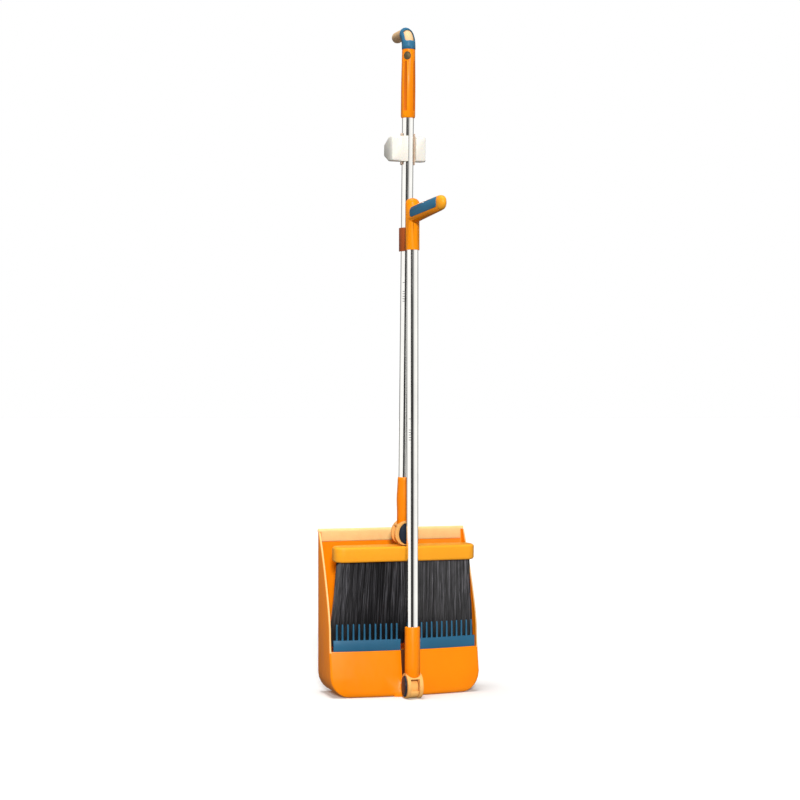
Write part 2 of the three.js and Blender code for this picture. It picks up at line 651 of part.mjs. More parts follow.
// The tongue on the head, which the broom's knuckle straddles: its faces look along the swivel axis.
function headTongue() {
  const half = TONGUE.width / 2;
  const foot = -(KNUCKLE.radius + RUN + 0.7) + GAP + 0.2;
  const outline = [];
  const neck = TONGUE.neck / 2;
  const start = -Math.acos(neck / TONGUE.radius);
  const steps = 18;
  for (let i = 0; i <= steps; i++) {
    const angle = start + ((Math.PI - 2 * start) * i) / steps;
    outline.push(new THREE.Vector2(TONGUE.radius * Math.cos(angle), TONGUE.radius * Math.sin(angle)));
  }
  outline.push(new THREE.Vector2(-neck, foot + 0.7), new THREE.Vector2(neck, foot + 0.7));
  const bore = rod(PIN_RADIUS + GAP, -20, 20);
  const plate = prism(outline, -half, half).subtract(bore).rotate([90, 0, 0]);
  return cut(plate, ...headScrews(GAP, 1));
}

// Two screws up through the block into the tongue's foot.
function headScrews(grow, shankOnly = 0) {
  const bottom = -HEAD.top - HEAD.height;
  return [-1, 1].map((side) => {
    const shank = rod(SCREW.shank + grow, bottom + 8, -TONGUE.radius + 1 + grow, 12);
    const head = rod(SCREW.head + grow, bottom - (grow ? 5 : -6), bottom + 8, 16);
    return (shankOnly ? shank : joined(shank, head)).translate([side * 5, 0, 0]);
  });
}

function bristleBlock() {
  const top = -HEAD.top - HEAD.height - GAP;
  const level = (halfWidth, front, rear, z) =>
    roundedRectangle([-halfWidth, halfWidth], [front, rear], 5, 3)
      .map((p) => new THREE.Vector3(p.x, p.y, z));
  return loft([
    level(BRISTLES.tipWidth / 2, -BRISTLES.tipFront, BRISTLES.tipRear, top - BRISTLES.length),
    level(BRISTLES.width / 2, -BRISTLES.depth / 2, BRISTLES.depth / 2, top),
  ]);
}

// Wall holder --------------------------------------------------------------------------------

function holderChannel(radius, bottom, top) {
  return joined(
    rod(radius, bottom, top),
    box([-radius, radius], [-HOLDER.front - 20, 0], [bottom, top]),
  );
}

function holderBody() {
  const { bottom, height, width, front, block, depth, backHeight } = HOLDER;
  const middle = bottom + height / 2;
  const level = (halfWidth, halfHeight, y) =>
    roundedRectangle([-halfWidth, halfWidth], [middle - halfHeight, middle + halfHeight], 3, 3)
      .map((p) => new THREE.Vector3(p.x, y, p.y));
  const body = loft([
    level(width / 2, backHeight / 2, depth - front),
    level(width / 2, height / 2 - 1, block - front),
    level(width / 2, height / 2, -front + 5),
    level(width / 2 - 1.4, height / 2 - 1.4, -front + 1),
    level(width / 2 - 4, height / 2 - 3, -front),
  ]);
  const radius = POLE_RADIUS + RUN + JAW.wall + GAP;
  const channel = holderChannel(radius, bottom - 5, bottom + height + 5);
  const room = rod(radius, bottom - 1, bottom + height + 1);
  const around = cut(rod(radius + FINGER.wall, bottom, bottom + height), room);
  const finger = around.intersect(box([-40, FINGER.end], [-40, 0], [bottom, bottom + height]));
  return joined(cut(body, channel), finger);
}

// The soft liner behind and beside the pole, taller than the body.
function holderJaw() {
  const { bottom, height } = HOLDER;
  const low = bottom - JAW.beyond;
  const high = bottom + height + JAW.beyond;
  const outer = rod(POLE_RADIUS + RUN + JAW.wall, low, high);
  const front = box([-30, 30], [-30, -HOLDER.front + 4], [low - 1, high + 1]);
  const pole = holderChannel(POLE_RADIUS + RUN, low - 5, high + 5);
  return cut(outer, front, pole);
}

function holderPad() {
  const start = HOLDER.depth - HOLDER.front + GAP;
  const middle = HOLDER.bottom + HOLDER.height / 2;
  return box([-PAD.width / 2, PAD.width / 2], [start, start + PAD.thickness],
    [middle - PAD.height / 2, middle + PAD.height / 2]);
}

// Assembly -----------------------------------------------------------------------------------

const set = new THREE.Group();

function addPan() {
  piece("pan_shell", panShell(), orange, set);
  piece("pan_lip", panLip(), peach, set);
  piece("comb_left", comb(-1), blue, set);
  piece("comb_right", comb(1), blue, set);
  piece("pan_tongue", panTongue(), paleOrange, set);
  TONGUE_SCREWS.forEach((z, i) =>
    piece(`tongue_screw_${i + 1}`, tongueScrew(z), zinc, set));
}

function addPanPole() {
  const pole = new THREE.Group();
  pole.position.set(0, -PAN_POLE_FRONT, 0);
  set.add(pole);
  const knuckle = new THREE.Group();
  knuckle.position.z = HINGE_HEIGHT;
  pole.add(knuckle);
  knuckleSet(knuckle, {
    fork: "pole_fork", pin: "hinge_pin",
    caps: ["hinge_cap_left", "hinge_cap_right"], washers: ["hinge_washer_left", "hinge_washer_right"],
  });
  const top = PAN_SLEEVE_TOP - HINGE_HEIGHT;
  const sleeve = sleeveFoot([
    [0, 0], [PAN_SLEEVE_RADIUS, 0], [PAN_SLEEVE_RADIUS, top - 1.5], [PAN_SLEEVE_RADIUS - 1, top], [0, top],
  ]);
  piece("pan_sleeve", sleeve, orange, knuckle);
  piece("pan_pole_tube", tube(HINGE_HEIGHT + KNUCKLE.rise + 8, PAN_POLE_TOP), steel, pole);
  piece("handle_body", handleBody(), orange, pole);
  piece("handle_inlay_left", handleInlay(-1), blue, pole);
  piece("handle_inlay_right", handleInlay(1), blue, pole);
  piece("handle_end_cap", hornCap(), amber, pole);
}

function addBroom() {
  const broom = new THREE.Group();
  broom.position.set(0, BROOM_BACK - PAN_POLE_FRONT, SWIVEL_HEIGHT);
  broom.rotation.x = THREE.MathUtils.degToRad(BROOM_LEAN);
  set.add(broom);
  const knuckle = new THREE.Group();
  knuckle.rotation.z = Math.PI / 2;
  broom.add(knuckle);
  knuckleSet(knuckle, {
    fork: "broom_fork", pin: "swivel_pin",
    caps: ["swivel_cap_front", "swivel_cap_rear"], washers: ["swivel_washer_front", "swivel_washer_rear"],
  });
  const { bottom, shoulder, belly, neck, top } = BROOM_SLEEVE;
  const radius = BROOM_SLEEVE_RADIUS;
  const swell = new THREE.SplineCurve([
    new THREE.Vector2(radius.foot, bottom), new THREE.Vector2(radius.foot + 0.1, shoulder),
    new THREE.Vector2(radius.belly, belly), new THREE.Vector2(radius.top + 0.4, neck),
    new THREE.Vector2(radius.top, top),
  ]);
  const side = swell.getPoints(6).map((point) => [point.x, point.y]);
  const sleeve = sleeveFoot([[0, 0], [radius.foot, 0], ...side, [0, top]]);
  piece("broom_sleeve", sleeve, orange, knuckle);
  piece("broom_pole_tube", tube(KNUCKLE.rise + 8, GRIP.top - 26), steel, broom);
  piece("broom_grip", grip(), orange, broom);
  piece("grip_badge", badgePlate(0), brass, broom);
  piece("hook_core", hookCore(), paleOrange, broom);
  piece("hook_skin", hookSkin(), blue, broom);
  piece("head_block", headBlock(), amber, broom);
  piece("head_tongue", headTongue(), paleOrange, broom);
  headScrews(0).forEach((screw, i) => piece(`head_screw_${i + 1}`, screw, zinc, broom));
  piece("bristles", bristleBlock(), black, broom);
  piece("holder_body", holderBody(), white, broom);
  piece("holder_jaw", holderJaw(), jawRubber, broom);
  piece("holder_pad", holderPad(), foam, broom);
}

addPan();
addPanPole();
addBroom();

export default set;
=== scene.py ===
"""Stand-up dust pan and broom: detailed pieces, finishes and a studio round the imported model."""

import json
import math

import bmesh
import bpy
from bpy.props import FloatProperty, FloatVectorProperty, IntProperty, PointerProperty
from mathutils import Matrix, Vector


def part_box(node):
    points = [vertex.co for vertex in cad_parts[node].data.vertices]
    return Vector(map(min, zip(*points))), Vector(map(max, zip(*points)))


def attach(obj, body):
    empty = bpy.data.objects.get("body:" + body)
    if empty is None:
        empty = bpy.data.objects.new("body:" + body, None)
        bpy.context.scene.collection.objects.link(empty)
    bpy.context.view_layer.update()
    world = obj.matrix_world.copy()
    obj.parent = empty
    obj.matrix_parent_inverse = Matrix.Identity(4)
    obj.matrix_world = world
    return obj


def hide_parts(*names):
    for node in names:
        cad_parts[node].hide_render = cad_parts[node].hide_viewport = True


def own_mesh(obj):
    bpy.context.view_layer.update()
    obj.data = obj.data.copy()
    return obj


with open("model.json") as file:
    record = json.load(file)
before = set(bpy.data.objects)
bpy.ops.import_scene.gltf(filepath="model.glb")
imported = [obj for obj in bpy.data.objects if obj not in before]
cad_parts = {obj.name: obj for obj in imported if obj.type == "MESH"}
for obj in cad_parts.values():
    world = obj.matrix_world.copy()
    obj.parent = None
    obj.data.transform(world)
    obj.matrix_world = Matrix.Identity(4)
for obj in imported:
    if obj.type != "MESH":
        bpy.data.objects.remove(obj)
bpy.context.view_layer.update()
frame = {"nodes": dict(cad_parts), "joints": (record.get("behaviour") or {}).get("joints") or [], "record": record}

bl_info = {
    "name": "Dust Pan and Broom",
    "version": (1, 0, 0),
    "blender": (4, 5, 0),
    "location": "View3D > Sidebar > Dust Pan",
    "description": "Builds a stand-up dust pan and broom with its finishes and a studio",
    "category": "Object",
}

MM = 0.001
JOINTS = {joint["name"]: joint for joint in frame["joints"]}
SWIVEL = Vector(JOINTS["head_swivel"]["pos_m"])
SWIVEL_AXIS = Vector(JOINTS["head_swivel"]["axis"])
BROOM_UP = Vector(JOINTS["broom_lift"]["axis"]).normalized()
HINGE = Vector(JOINTS["pan_fold"]["pos_m"])
# The broom's own frame: origin on the swivel axis, pole along +Z.
BROOM = Matrix.Translation(SWIVEL) @ Matrix((
    (1, 0, 0), (0, SWIVEL_AXIS.y, BROOM_UP.y), (0, SWIVEL_AXIS.z, BROOM_UP.z))).to_4x4()
POLE = Matrix.Translation((HINGE.x, HINGE.y, 0))

# Points closer than WELD are one point, and faces that meet at less than FLAT are one face.
WELD = 2e-6
FLAT = math.radians(0.6)
STRAND_POINTS = 8
STEEL = (0.86, 0.86, 0.85)

# The camera looks at VIEW_AIM from the side that VIEW_BACK points to.
VIEW_AZIMUTH = math.radians(-18)
VIEW_BACK = Vector((math.sin(VIEW_AZIMUTH), -math.cos(VIEW_AZIMUTH), 0))
VIEW_DISTANCE = 3.03
VIEW_AIM = Vector((-0.020, -0.0635, 0.505))


def span(node, axis):
    """Size of a node's box along an axis, in metres."""
    low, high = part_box(node)
    return high[axis] - low[axis]


def broom_height(node):
    """Lowest and highest point of a node along the broom's pole, from the swivel axis."""
    inverse = BROOM.inverted()
    heights = [(inverse @ vertex.co).z for vertex in frame["nodes"][node].data.vertices]
    return min(heights), max(heights)


# Sizes and colours ---------------------------------------------------------------------------


def length(name, description, default):
    return FloatProperty(name=name, description=description, default=default, unit="LENGTH", precision=5)


def colour(name, description, default):
    return FloatVectorProperty(
        name=name, description=description, default=default, size=3, subtype="COLOR", min=0, max=1)


class PoleSizes(bpy.types.PropertyGroup):
    radius: length("Radius", "Outer radius of both poles", span("pan_pole_tube", 0) / 2)
    wall: length("Wall", "Thickness of the steel", 0.8 * MM)
    facets: IntProperty(name="Facets", description="Facets round each pole", default=96, min=12)
    tick_gap: length("Tick spacing", "Distance between the height marks", 4.2 * MM)
    tick: length("Tick", "Thickness of a height mark", 0.9 * MM)
    tick_half: length("Half tick", "Half the width of a height mark", 3.1 * MM)


class SleeveSizes(bpy.types.PropertyGroup):
    radius: length("Radius", "Outer radius of the pan's foot sleeve", span("pan_sleeve", 0) / 2)
    saddle: length("Saddle", "Radius of the knuckle's saddle", 15.6 * MM)
    saddle_height: length("Saddle height", "Centre of the saddle above the hinge axis", 31.6 * MM)


class CombSizes(bpy.types.PropertyGroup):
    pitch: length("Pitch", "Distance between teeth", 9.4 * MM)
    tooth_width: length("Tooth width", "Width of a tooth at its root", 2.9 * MM)
    tooth_depth: length("Tooth depth", "Depth of a tooth at its root", 3.0 * MM)
    tooth_height: length("Tooth height", "Height of a tooth above its base", 27 * MM)


class BristleSizes(bpy.types.PropertyGroup):
    across: IntProperty(name="Across", description="Bristles across the head", default=190, min=2)
    deep: IntProperty(name="Deep", description="Bristles from front to back", default=14, min=2)
    radius: length("Radius", "Radius of a bristle at its root", 0.62 * MM)
    wave: length("Wave", "How far the tips wander", 5.5 * MM)
    jitter: length("Jitter", "How far the roots stray from their grid", 0.9 * MM)


class BadgeSizes(bpy.types.PropertyGroup):
    rim: length("Rim", "Width of the badge's raised rim", 1.1 * MM)
    rise: length("Rise", "Height of the rim over the dished face", 0.35 * MM)
    dome: length("Dome", "How far the badge's middle swells", 0.3 * MM)


class Colours(bpy.types.PropertyGroup):
    orange: colour("Orange", "Pan, sleeves, handle and grip", (0.95, 0.245, 0.001))
    pale_orange: colour("Pale orange", "Knuckles", (0.84, 0.43, 0.125))
    sand: colour("Sand", "Hook rod", (0.76, 0.50, 0.27))
    amber: colour("Amber", "Broom head and end cap", (0.92, 0.355, 0.017))
    # The rim tone is a painted highlight on the front edges of the pan's side walls.
    rim: colour("Rim", "Front edges of the pan's side walls", (0.97, 0.56, 0.22))
    lip: colour("Lip", "Soft strip on the pan's mouth", (1.0, 0.62, 0.25))
    blue: colour("Blue", "Combs, inlays and hook skin", (0.020, 0.098, 0.178))
    navy: colour("Navy", "Oval knuckle caps", (0.010, 0.018, 0.032))
    bristle: colour("Bristle", "Bristles", (0.044, 0.043, 0.048))
    white: colour("White", "Wall holder", (0.86, 0.84, 0.77))
    floor: colour("Floor", "Studio floor", (0.93, 0.93, 0.925))


def settings():
    return bpy.context.scene.dust_pan


# Node trees ----------------------------------------------------------------------------------


class Tree:
    """A node tree that is filled by short calls."""

    def __init__(self, tree):
        self.tree = tree

    def add(self, kind, inputs=None, **values):
        node = self.tree.nodes.new(kind)
        for key, value in values.items():
            setattr(node, key, value)
        for key, value in (inputs or {}).items():
            if isinstance(value, bpy.types.NodeSocket):
                self.tree.links.new(value, node.inputs[key])
            else:
                node.inputs[key].default_value = value
        return node

    def math(self, operation, *values):
        return self.add("ShaderNodeMath", dict(enumerate(values)), operation=operation).outputs[0]

    def link(self, source, target):
        self.tree.links.new(source, target)


def new_material(name, tone):
    """An empty material, with its main colour kept for the solid view."""
    material = bpy.data.materials.new(name)
    material.diffuse_color = (*tone, 1)
    material.use_nodes = True
    material.node_tree.nodes.clear()
    return material, Tree(material.node_tree)


def finish_material(material, tree, shader):
    """Joins a shader to the material's output."""
    output = tree.add("ShaderNodeOutputMaterial")
    tree.link(shader.outputs[0], output.inputs["Surface"])
    return material


def shade_of(tone, factor):
    """A tone made darker or lighter, as a colour with alpha."""
    return (*(min(1, channel * factor) for channel in tone), 1)


def object_noise(tree, scale, detail=2, stretch=(1, 1, 1)):
    """Noise in the object's own coordinates; scale is in ridges per metre."""
    place = tree.add("ShaderNodeTexCoord").outputs["Object"]
    mapped = tree.add("ShaderNodeMapping", {"Vector": place, "Scale": stretch}).outputs[0]
    return tree.add("ShaderNodeTexNoise", {"Vector": mapped, "Scale": scale, "Detail": detail}).outputs["Fac"]


def mixed(tree, factor, low, high):
    """A colour between two others."""
    mix = tree.add("ShaderNodeMix", data_type="RGBA")
    tree.link(factor, mix.inputs["Factor"])
    for socket, value in ((mix.inputs[6], low), (mix.inputs[7], high)):
        if isinstance(value, bpy.types.NodeSocket):
            tree.link(value, socket)
        else:
            socket.default_value = value
    return mix.outputs[2]


def ranged(tree, value, from_low, from_high, to_low, to_high):
    """A value mapped from one range to another."""
    return tree.add("ShaderNodeMapRange", {
        "Value": value, "From Min": from_low, "From Max": from_high, "To Min": to_low, "To Max": to_high,
    }).outputs[0]


def moulded_plastic(name, tone, roughness=0.36, grain=0.035, subsurface=0.0, edge=1.25):
    """Moulded plastic: fine grain, faint flow marks, scuffs in the gloss, and convex edges made paler as a painted
    highlight.
    """
    material, tree = new_material(name, tone)
    flow = object_noise(tree, 14, 3, (1, 1, 0.35))
    base = mixed(tree, ranged(tree, flow, 0.3, 0.7, 0, 1), shade_of(tone, 0.94), shade_of(tone, 1.04))
    # Painted highlight: convex edges, found by pointiness, are lightened by the edge factor.
    pointed = tree.add("ShaderNodeNewGeometry").outputs["Pointiness"]
    edge_highlight = mixed(tree, ranged(tree, pointed, 0.52, 0.60, 0, 1), base, shade_of(tone, edge))
    scuff = object_noise(tree, 160, 5, (1, 1, 0.25))
    gloss = ranged(tree, scuff, 0.35, 0.7, roughness - 0.05, roughness + 0.10)
    pits = object_noise(tree, 1500, 2)
    bump = tree.add("ShaderNodeBump", {"Strength": grain, "Distance": 0.0004, "Height": pits}).outputs[0]
    shader = tree.add("ShaderNodeBsdfPrincipled", {
        "Base Color": edge_highlight, "Roughness": gloss, "Normal": bump, "Specular IOR Level": 0.15,
        "Subsurface Weight": subsurface, "Subsurface Scale": 0.003,
    })
    shader.inputs["Subsurface Radius"].default_value = (1.0, 0.5, 0.2)
    return finish_material(material, tree, shader)


def soft_rubber(name, tone, roughness=0.62):
    """Soft moulded rubber with a matt, slightly dusty surface."""
    material, tree = new_material(name, tone)
    dust = object_noise(tree, 60, 4)
    base = mixed(tree, ranged(tree, dust, 0.35, 0.75, 0, 1), shade_of(tone, 0.95), shade_of(tone, 1.06))
    pits = object_noise(tree, 900, 3)
    bump = tree.add("ShaderNodeBump", {"Strength": 0.12, "Distance": 0.0003, "Height": pits}).outputs[0]
    shader = tree.add("ShaderNodeBsdfPrincipled", {
        "Base Color": base, "Roughness": roughness, "Normal": bump, "Sheen Weight": 0.15,
        "Subsurface Weight": 0.08, "Subsurface Scale": 0.002,
    })
    return finish_material(material, tree, shader)


def metal(name, tone, roughness, streak, marks=None):
    """Polished or plated metal with drawn streaks along Z; marks are printed bands."""
    material, tree = new_material(name, tone)
    drawn = object_noise(tree, 900, 3, (1, 1, 0.012))
    gloss = ranged(tree, drawn, 0.3, 0.7, roughness, roughness + streak)
    bump = tree.add("ShaderNodeBump", {"Strength": 0.03, "Distance": 0.0002, "Height": drawn}).outputs[0]
    smear = object_noise(tree, 30, 3)
    base = mixed(tree, ranged(tree, smear, 0.3, 0.75, 0, 1), shade_of(tone, 1), shade_of(tone, 0.93))
    shader = tree.add("ShaderNodeBsdfPrincipled", {
        "Base Color": base, "Metallic": 1.0, "Roughness": gloss, "Normal": bump})
    if marks is None:
        return finish_material(material, tree, shader)
    ink = tree.add("ShaderNodeBsdfPrincipled", {"Base Color": (0.012, 0.012, 0.014, 1), "Roughness": 0.45})
    blended = tree.add("ShaderNodeMixShader", {"Fac": marks(tree), 1: shader.outputs[0], 2: ink.outputs[0]})
    return finish_material(material, tree, blended)


def bristle_finish(name, tone):
    """Dark nylon filament: glossy along its sides, some strands paler from wear, and darker towards its tips as
    painted shade.
    """
    material, tree = new_material(name, tone)
    own = tree.add("ShaderNodeAttribute", attribute_name="strand_tone").outputs["Fac"]
    clump = object_noise(tree, 260, 2, (1, 1, 0.02))
    lit = tree.math("MULTIPLY", own, ranged(tree, clump, 0.38, 0.62, 0.15, 1.0))
    # Painted shade: the strands darken towards their tips, low in the pan.
    height = tree.add("ShaderNodeSeparateXYZ", {
        0: tree.add("ShaderNodeTexCoord").outputs["Object"]}).outputs[2]
    tip_shade = tree.math("MULTIPLY", lit, ranged(tree, height, 0.105, 0.165, 0.0, 1.0))
    fibre = mixed(tree, tip_shade, shade_of(tone, 0.3), shade_of(tone, 4.4))
    gloss = ranged(tree, object_noise(tree, 300, 2, (1, 1, 0.1)), 0.3, 0.7, 0.32, 0.5)
    shader = tree.add("ShaderNodeBsdfPrincipled", {"Base Color": fibre, "Roughness": gloss})
    return finish_material(material, tree, shader)


def foam_finish(name, tone):
    """Open-celled foam, pitted and matt."""
    material, tree = new_material(name, tone)
    cells = tree.add("ShaderNodeTexVoronoi", {
        "Vector": tree.add("ShaderNodeTexCoord").outputs["Object"], "Scale": 1400.0}).outputs["Distance"]
    base = mixed(tree, ranged(tree, cells, 0, 0.7, 0, 1), shade_of(tone, 0.8), shade_of(tone, 1.1))
    bump = tree.add("ShaderNodeBump", {"Strength": 0.4, "Distance": 0.0004, "Height": cells}).outputs[0]
    shader = tree.add("ShaderNodeBsdfPrincipled", {"Base Color": base, "Roughness": 0.9, "Normal": bump})
    return finish_material(material, tree, shader)


def printed_ticks(frame_matrix, bands, turn, half_width):
    """Height marks printed on a pole: each band is a height in the pole's frame and a thickness."""

    def build(tree):
        place = tree.add("ShaderNodeTexCoord").outputs["Object"]
        inverse = frame_matrix.inverted()
        mapped = tree.add("ShaderNodeMapping", {
            "Vector": place, "Location": inverse.to_translation(), "Rotation": inverse.to_euler()})
        parts = tree.add("ShaderNodeSeparateXYZ", {0: mapped.outputs[0]})
        across = tree.math("ADD", tree.math("MULTIPLY", parts.outputs[0], math.cos(turn)),
                           tree.math("MULTIPLY", parts.outputs[1], math.sin(turn)))
        toward = tree.math("SUBTRACT", tree.math("MULTIPLY", parts.outputs[0], math.sin(turn)),
                           tree.math("MULTIPLY", parts.outputs[1], math.cos(turn)))
        inside = tree.math("LESS_THAN", tree.math("ABSOLUTE", across), half_width)
        front = tree.math("GREATER_THAN", toward, 0.0)
        total = None
        for height, thickness in bands:
            away = tree.math("ABSOLUTE", tree.math("SUBTRACT", parts.outputs[2], height))
            band = tree.math("LESS_THAN", away, thickness / 2)
            total = band if total is None else tree.math("MAXIMUM", total, band)
        return tree.math("MULTIPLY", tree.math("MULTIPLY", inside, front), total)

    return build


FINISHES = {}


def finish_for(slot):
    """The finish of a material slot of the record, made once."""
    if slot not in FINISHES:
        tones = settings().colours
        builders = {
            "orange_plastic": lambda: moulded_plastic("glossy_orange", tones.orange, 0.34, subsurface=0.06),
            "pale_orange_plastic": lambda: moulded_plastic(
                "pale_orange", tones.pale_orange, 0.4, subsurface=0.06),
            "amber_plastic": lambda: moulded_plastic("amber", tones.amber, 0.36, subsurface=0.08),
            "soft_lip": lambda: soft_rubber("peach_rubber", tones.lip),
            "blue_plastic": lambda: moulded_plastic("slate_blue", tones.blue, 0.42, grain=0.06, edge=1.6),
            "navy_plastic": lambda: moulded_plastic("navy_cap", tones.navy, 0.3, edge=2.0),
            "polished_steel": lambda: metal("polished_steel", STEEL, 0.08, 0.07),
            "zinc": lambda: metal("zinc_screw", (0.55, 0.56, 0.58), 0.28, 0.12),
            "nylon": lambda: moulded_plastic("nylon_washer", (0.78, 0.78, 0.74), 0.45),
            "badge": lambda: metal("bronze_badge", (0.10, 0.078, 0.042), 0.42, 0.1),
            "bristle": lambda: bristle_finish("black_filament", tones.bristle),
            "white_plastic": lambda: moulded_plastic(
                "white_holder", tones.white, 0.4, subsurface=0.05, edge=1.05),
            "jaw_rubber": lambda: soft_rubber("jaw_liner", (0.62, 0.46, 0.34), 0.7),
            "foam": lambda: foam_finish("grey_foam", (0.22, 0.235, 0.25)),
        }
        FINISHES[slot] = builders[slot]()
    return FINISHES[slot]


def record_slot(node):
    """The material slot that the record gives a node."""
    for part in frame["record"]["subparts"]:
        if node == part["node"]:
            return part["material_slot"]
    raise RuntimeError(f"no subpart of the record is {node}")


# Meshes --------------------------------------------------------------------------------------


def add_object(name, mesh, body, nodes, finish=None, smooth_angle=40):
    """Links a finished mesh, gives it its finish, and lets it stand for its nodes."""
    piece = bpy.data.objects.new(name, mesh)
    bpy.context.scene.collection.objects.link(piece)
    slot = record_slot(nodes[0])
    mesh.materials.clear()
    mesh.materials.append(finish or finish_for(slot))
    mesh.shade_smooth()
    mesh.set_sharp_from_angle(angle=math.radians(smooth_angle))
    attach(piece, body)
    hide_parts(*nodes)
    return piece


def mesh_from(name, build, matrix=None):
    """A mesh that build(bm) fills, moved into place, its faces turned outwards."""
    bm = bmesh.new()
    build(bm)
    bmesh.ops.remove_doubles(bm, verts=bm.verts, dist=1e-6)
    bmesh.ops.recalc_face_normals(bm, faces=bm.faces)
    mesh = bpy.data.meshes.new(name)
    bm.to_mesh(mesh)
    bm.free()
    if matrix is not None:
        mesh.transform(matrix)
    return mesh


def join_rings(bm, rings, loop=False):
    """Skins rings of points; a loop joins the last ring to the first, and otherwise both ends are capped."""
    loops = [[bm.verts.new(point) for point in ring] for ring in rings]
    for low, high in zip(loops, loops[1:] + ([loops[0]] if loop else [])):
        count = len(low)
        for i in range(count):
            j = (i + 1) % count
            bm.faces.new((low[i], low[j], high[j], high[i]))
    if not loop:
        bm.faces.new(list(reversed(loops[0])))
        bm.faces.new(loops[-1])


def circle(radius, height, facets, y_scale=1.0):
    """Points round a circle, or round an oval where y_scale isn't 1."""
    turns = [2 * math.pi * i / facets for i in range(facets)]
    return [Vector((radius * math.cos(turn), y_scale * radius * math.sin(turn), height)) for turn in turns]


def sharp_edges(bm, degrees):
    """Edges between two faces that meet at more than an angle."""
    limit = math.radians(degrees)
    return [edge for edge in bm.edges if len(edge.link_faces) == 2 and edge.calc_face_angle(0) > limit]


def bevelled_copy(node, name, width=0.35 * MM, segments=2, sharp=35, smooth_angle=35):
    """A finer copy of a node: flat faces merged, edges rounded, curves shaded smooth."""
    bm = bmesh.new()
    bm.from_mesh(frame["nodes"][node].data)
    bmesh.ops.remove_doubles(bm, verts=bm.verts, dist=WELD)
    bmesh.ops.dissolve_limit(bm, angle_limit=FLAT, verts=bm.verts, edges=bm.edges)
    shortest = 0.25 * MM
    edges = [edge for edge in sharp_edges(bm, sharp) if edge.calc_length() > shortest]
    if edges:
        bmesh.ops.bevel(
            bm, geom=edges, offset=width, segments=segments, profile=0.5, affect="EDGES",
            clamp_overlap=True, loop_slide=True, harden_normals=False)
    bmesh.ops.triangulate(bm, faces=bm.faces, quad_method="BEAUTY", ngon_method="BEAUTY")
    mesh = bpy.data.meshes.new(name)
    bm.to_mesh(mesh)
    bm.free()
    body = next(body for body, nodes in frame["record"]["behaviour"]["bodies"].items() if node in nodes)
    return add_object(name, mesh, body, [node], smooth_angle=smooth_angle)


def tube_mesh(name, matrix, bottom, top, sizes):
    """An open steel tube with softened rims."""
    radius, wall, facets = sizes.radius, sizes.wall, sizes.facets
    rim = wall * 0.3
    profile = [
        (radius - rim, bottom), (radius, bottom + rim), (radius, top - rim), (radius - rim, top),
        (radius - wall + rim, top), (radius - wall, top - rim), (radius - wall, bottom + rim),
        (radius - wall + rim, bottom),
    ]

    def build(bm):
        join_rings(bm, [circle(r, z, facets) for r, z in profile], loop=True)

    return mesh_from(name, build, matrix)


def sleeve_mesh(name, matrix, profile, sizes, pole_radius, facets=80):
    """A sleeve whose foot dips into the knuckle's saddle. The profile is (radius, height) above it."""

    def foot(radius, lift):
        """A ring that follows the saddle, a little above it."""
        ring = circle(radius, 0, facets)
        for point in ring:
            point.z = sizes.saddle_height - math.sqrt(max(sizes.saddle ** 2 - point.x ** 2, 0)) + lift
        return ring

    def build(bm):
        bore = pole_radius + 0.3 * MM
        outer, top = profile[0][0], profile[-1][1]
        edge = 0.5 * MM
        rings = [foot(outer - edge, 0), foot(outer, edge)]
        rings += [circle(radius, height, facets) for radius, height in profile]
        rings += [circle(bore, top - 0.4 * MM, facets), foot(bore, 0.2 * MM)]
        join_rings(bm, rings, loop=True)

    return mesh_from(name, build, matrix)


# Geometry node trees -------------------------------------------------------------------------


def geometry_tree(name, inputs):
    """An empty geometry node group with named inputs: [(name, socket type, default), ...]."""
    group = bpy.data.node_groups.new(name, "GeometryNodeTree")
    group.interface.new_socket("Geometry", in_out="INPUT", socket_type="NodeSocketGeometry")
    sockets = {}
    for label, kind, default in inputs:
        socket = group.interface.new_socket(label, in_out="INPUT", socket_type=kind)
        if default is not None:
            socket.default_value = default
        sockets[label] = socket.identifier
    group.interface.new_socket("Geometry", in_out="OUTPUT", socket_type="NodeSocketGeometry")
    return group, Tree(group), sockets


def close_tree(tree, geometry, material_socket):
    """Ends a geometry tree in Realize Instances and Set Material."""
    real = tree.add("GeometryNodeRealizeInstances", {"Geometry": geometry})
    painted = tree.add("GeometryNodeSetMaterial", {"Geometry": real.outputs[0], "Material": material_socket})
    tree.add("NodeGroupOutput", {"Geometry": painted.outputs[0]})


def run_tree(name, mesh, group, sockets, values, matrix=None):
    """Runs a geometry tree on a mesh and returns the result as a plain mesh."""
    holder = bpy.data.objects.new(name + "_source", mesh)
    bpy.context.scene.collection.objects.link(holder)
    modifier = holder.modifiers.new("Build", "NODES")
    modifier.node_group = group
    for label, value in values.items():
        modifier[sockets[label]] = value
    evaluated = holder.evaluated_get(bpy.context.evaluated_depsgraph_get())
    result = bpy.data.meshes.new_from_object(evaluated)
    holder.modifiers.clear()
    bpy.data.objects.remove(holder)
    result.name = name
    if matrix is not None:
        result.transform(matrix)
    if not result.polygons:
        raise RuntimeError(f"{name} came out empty")
    return result


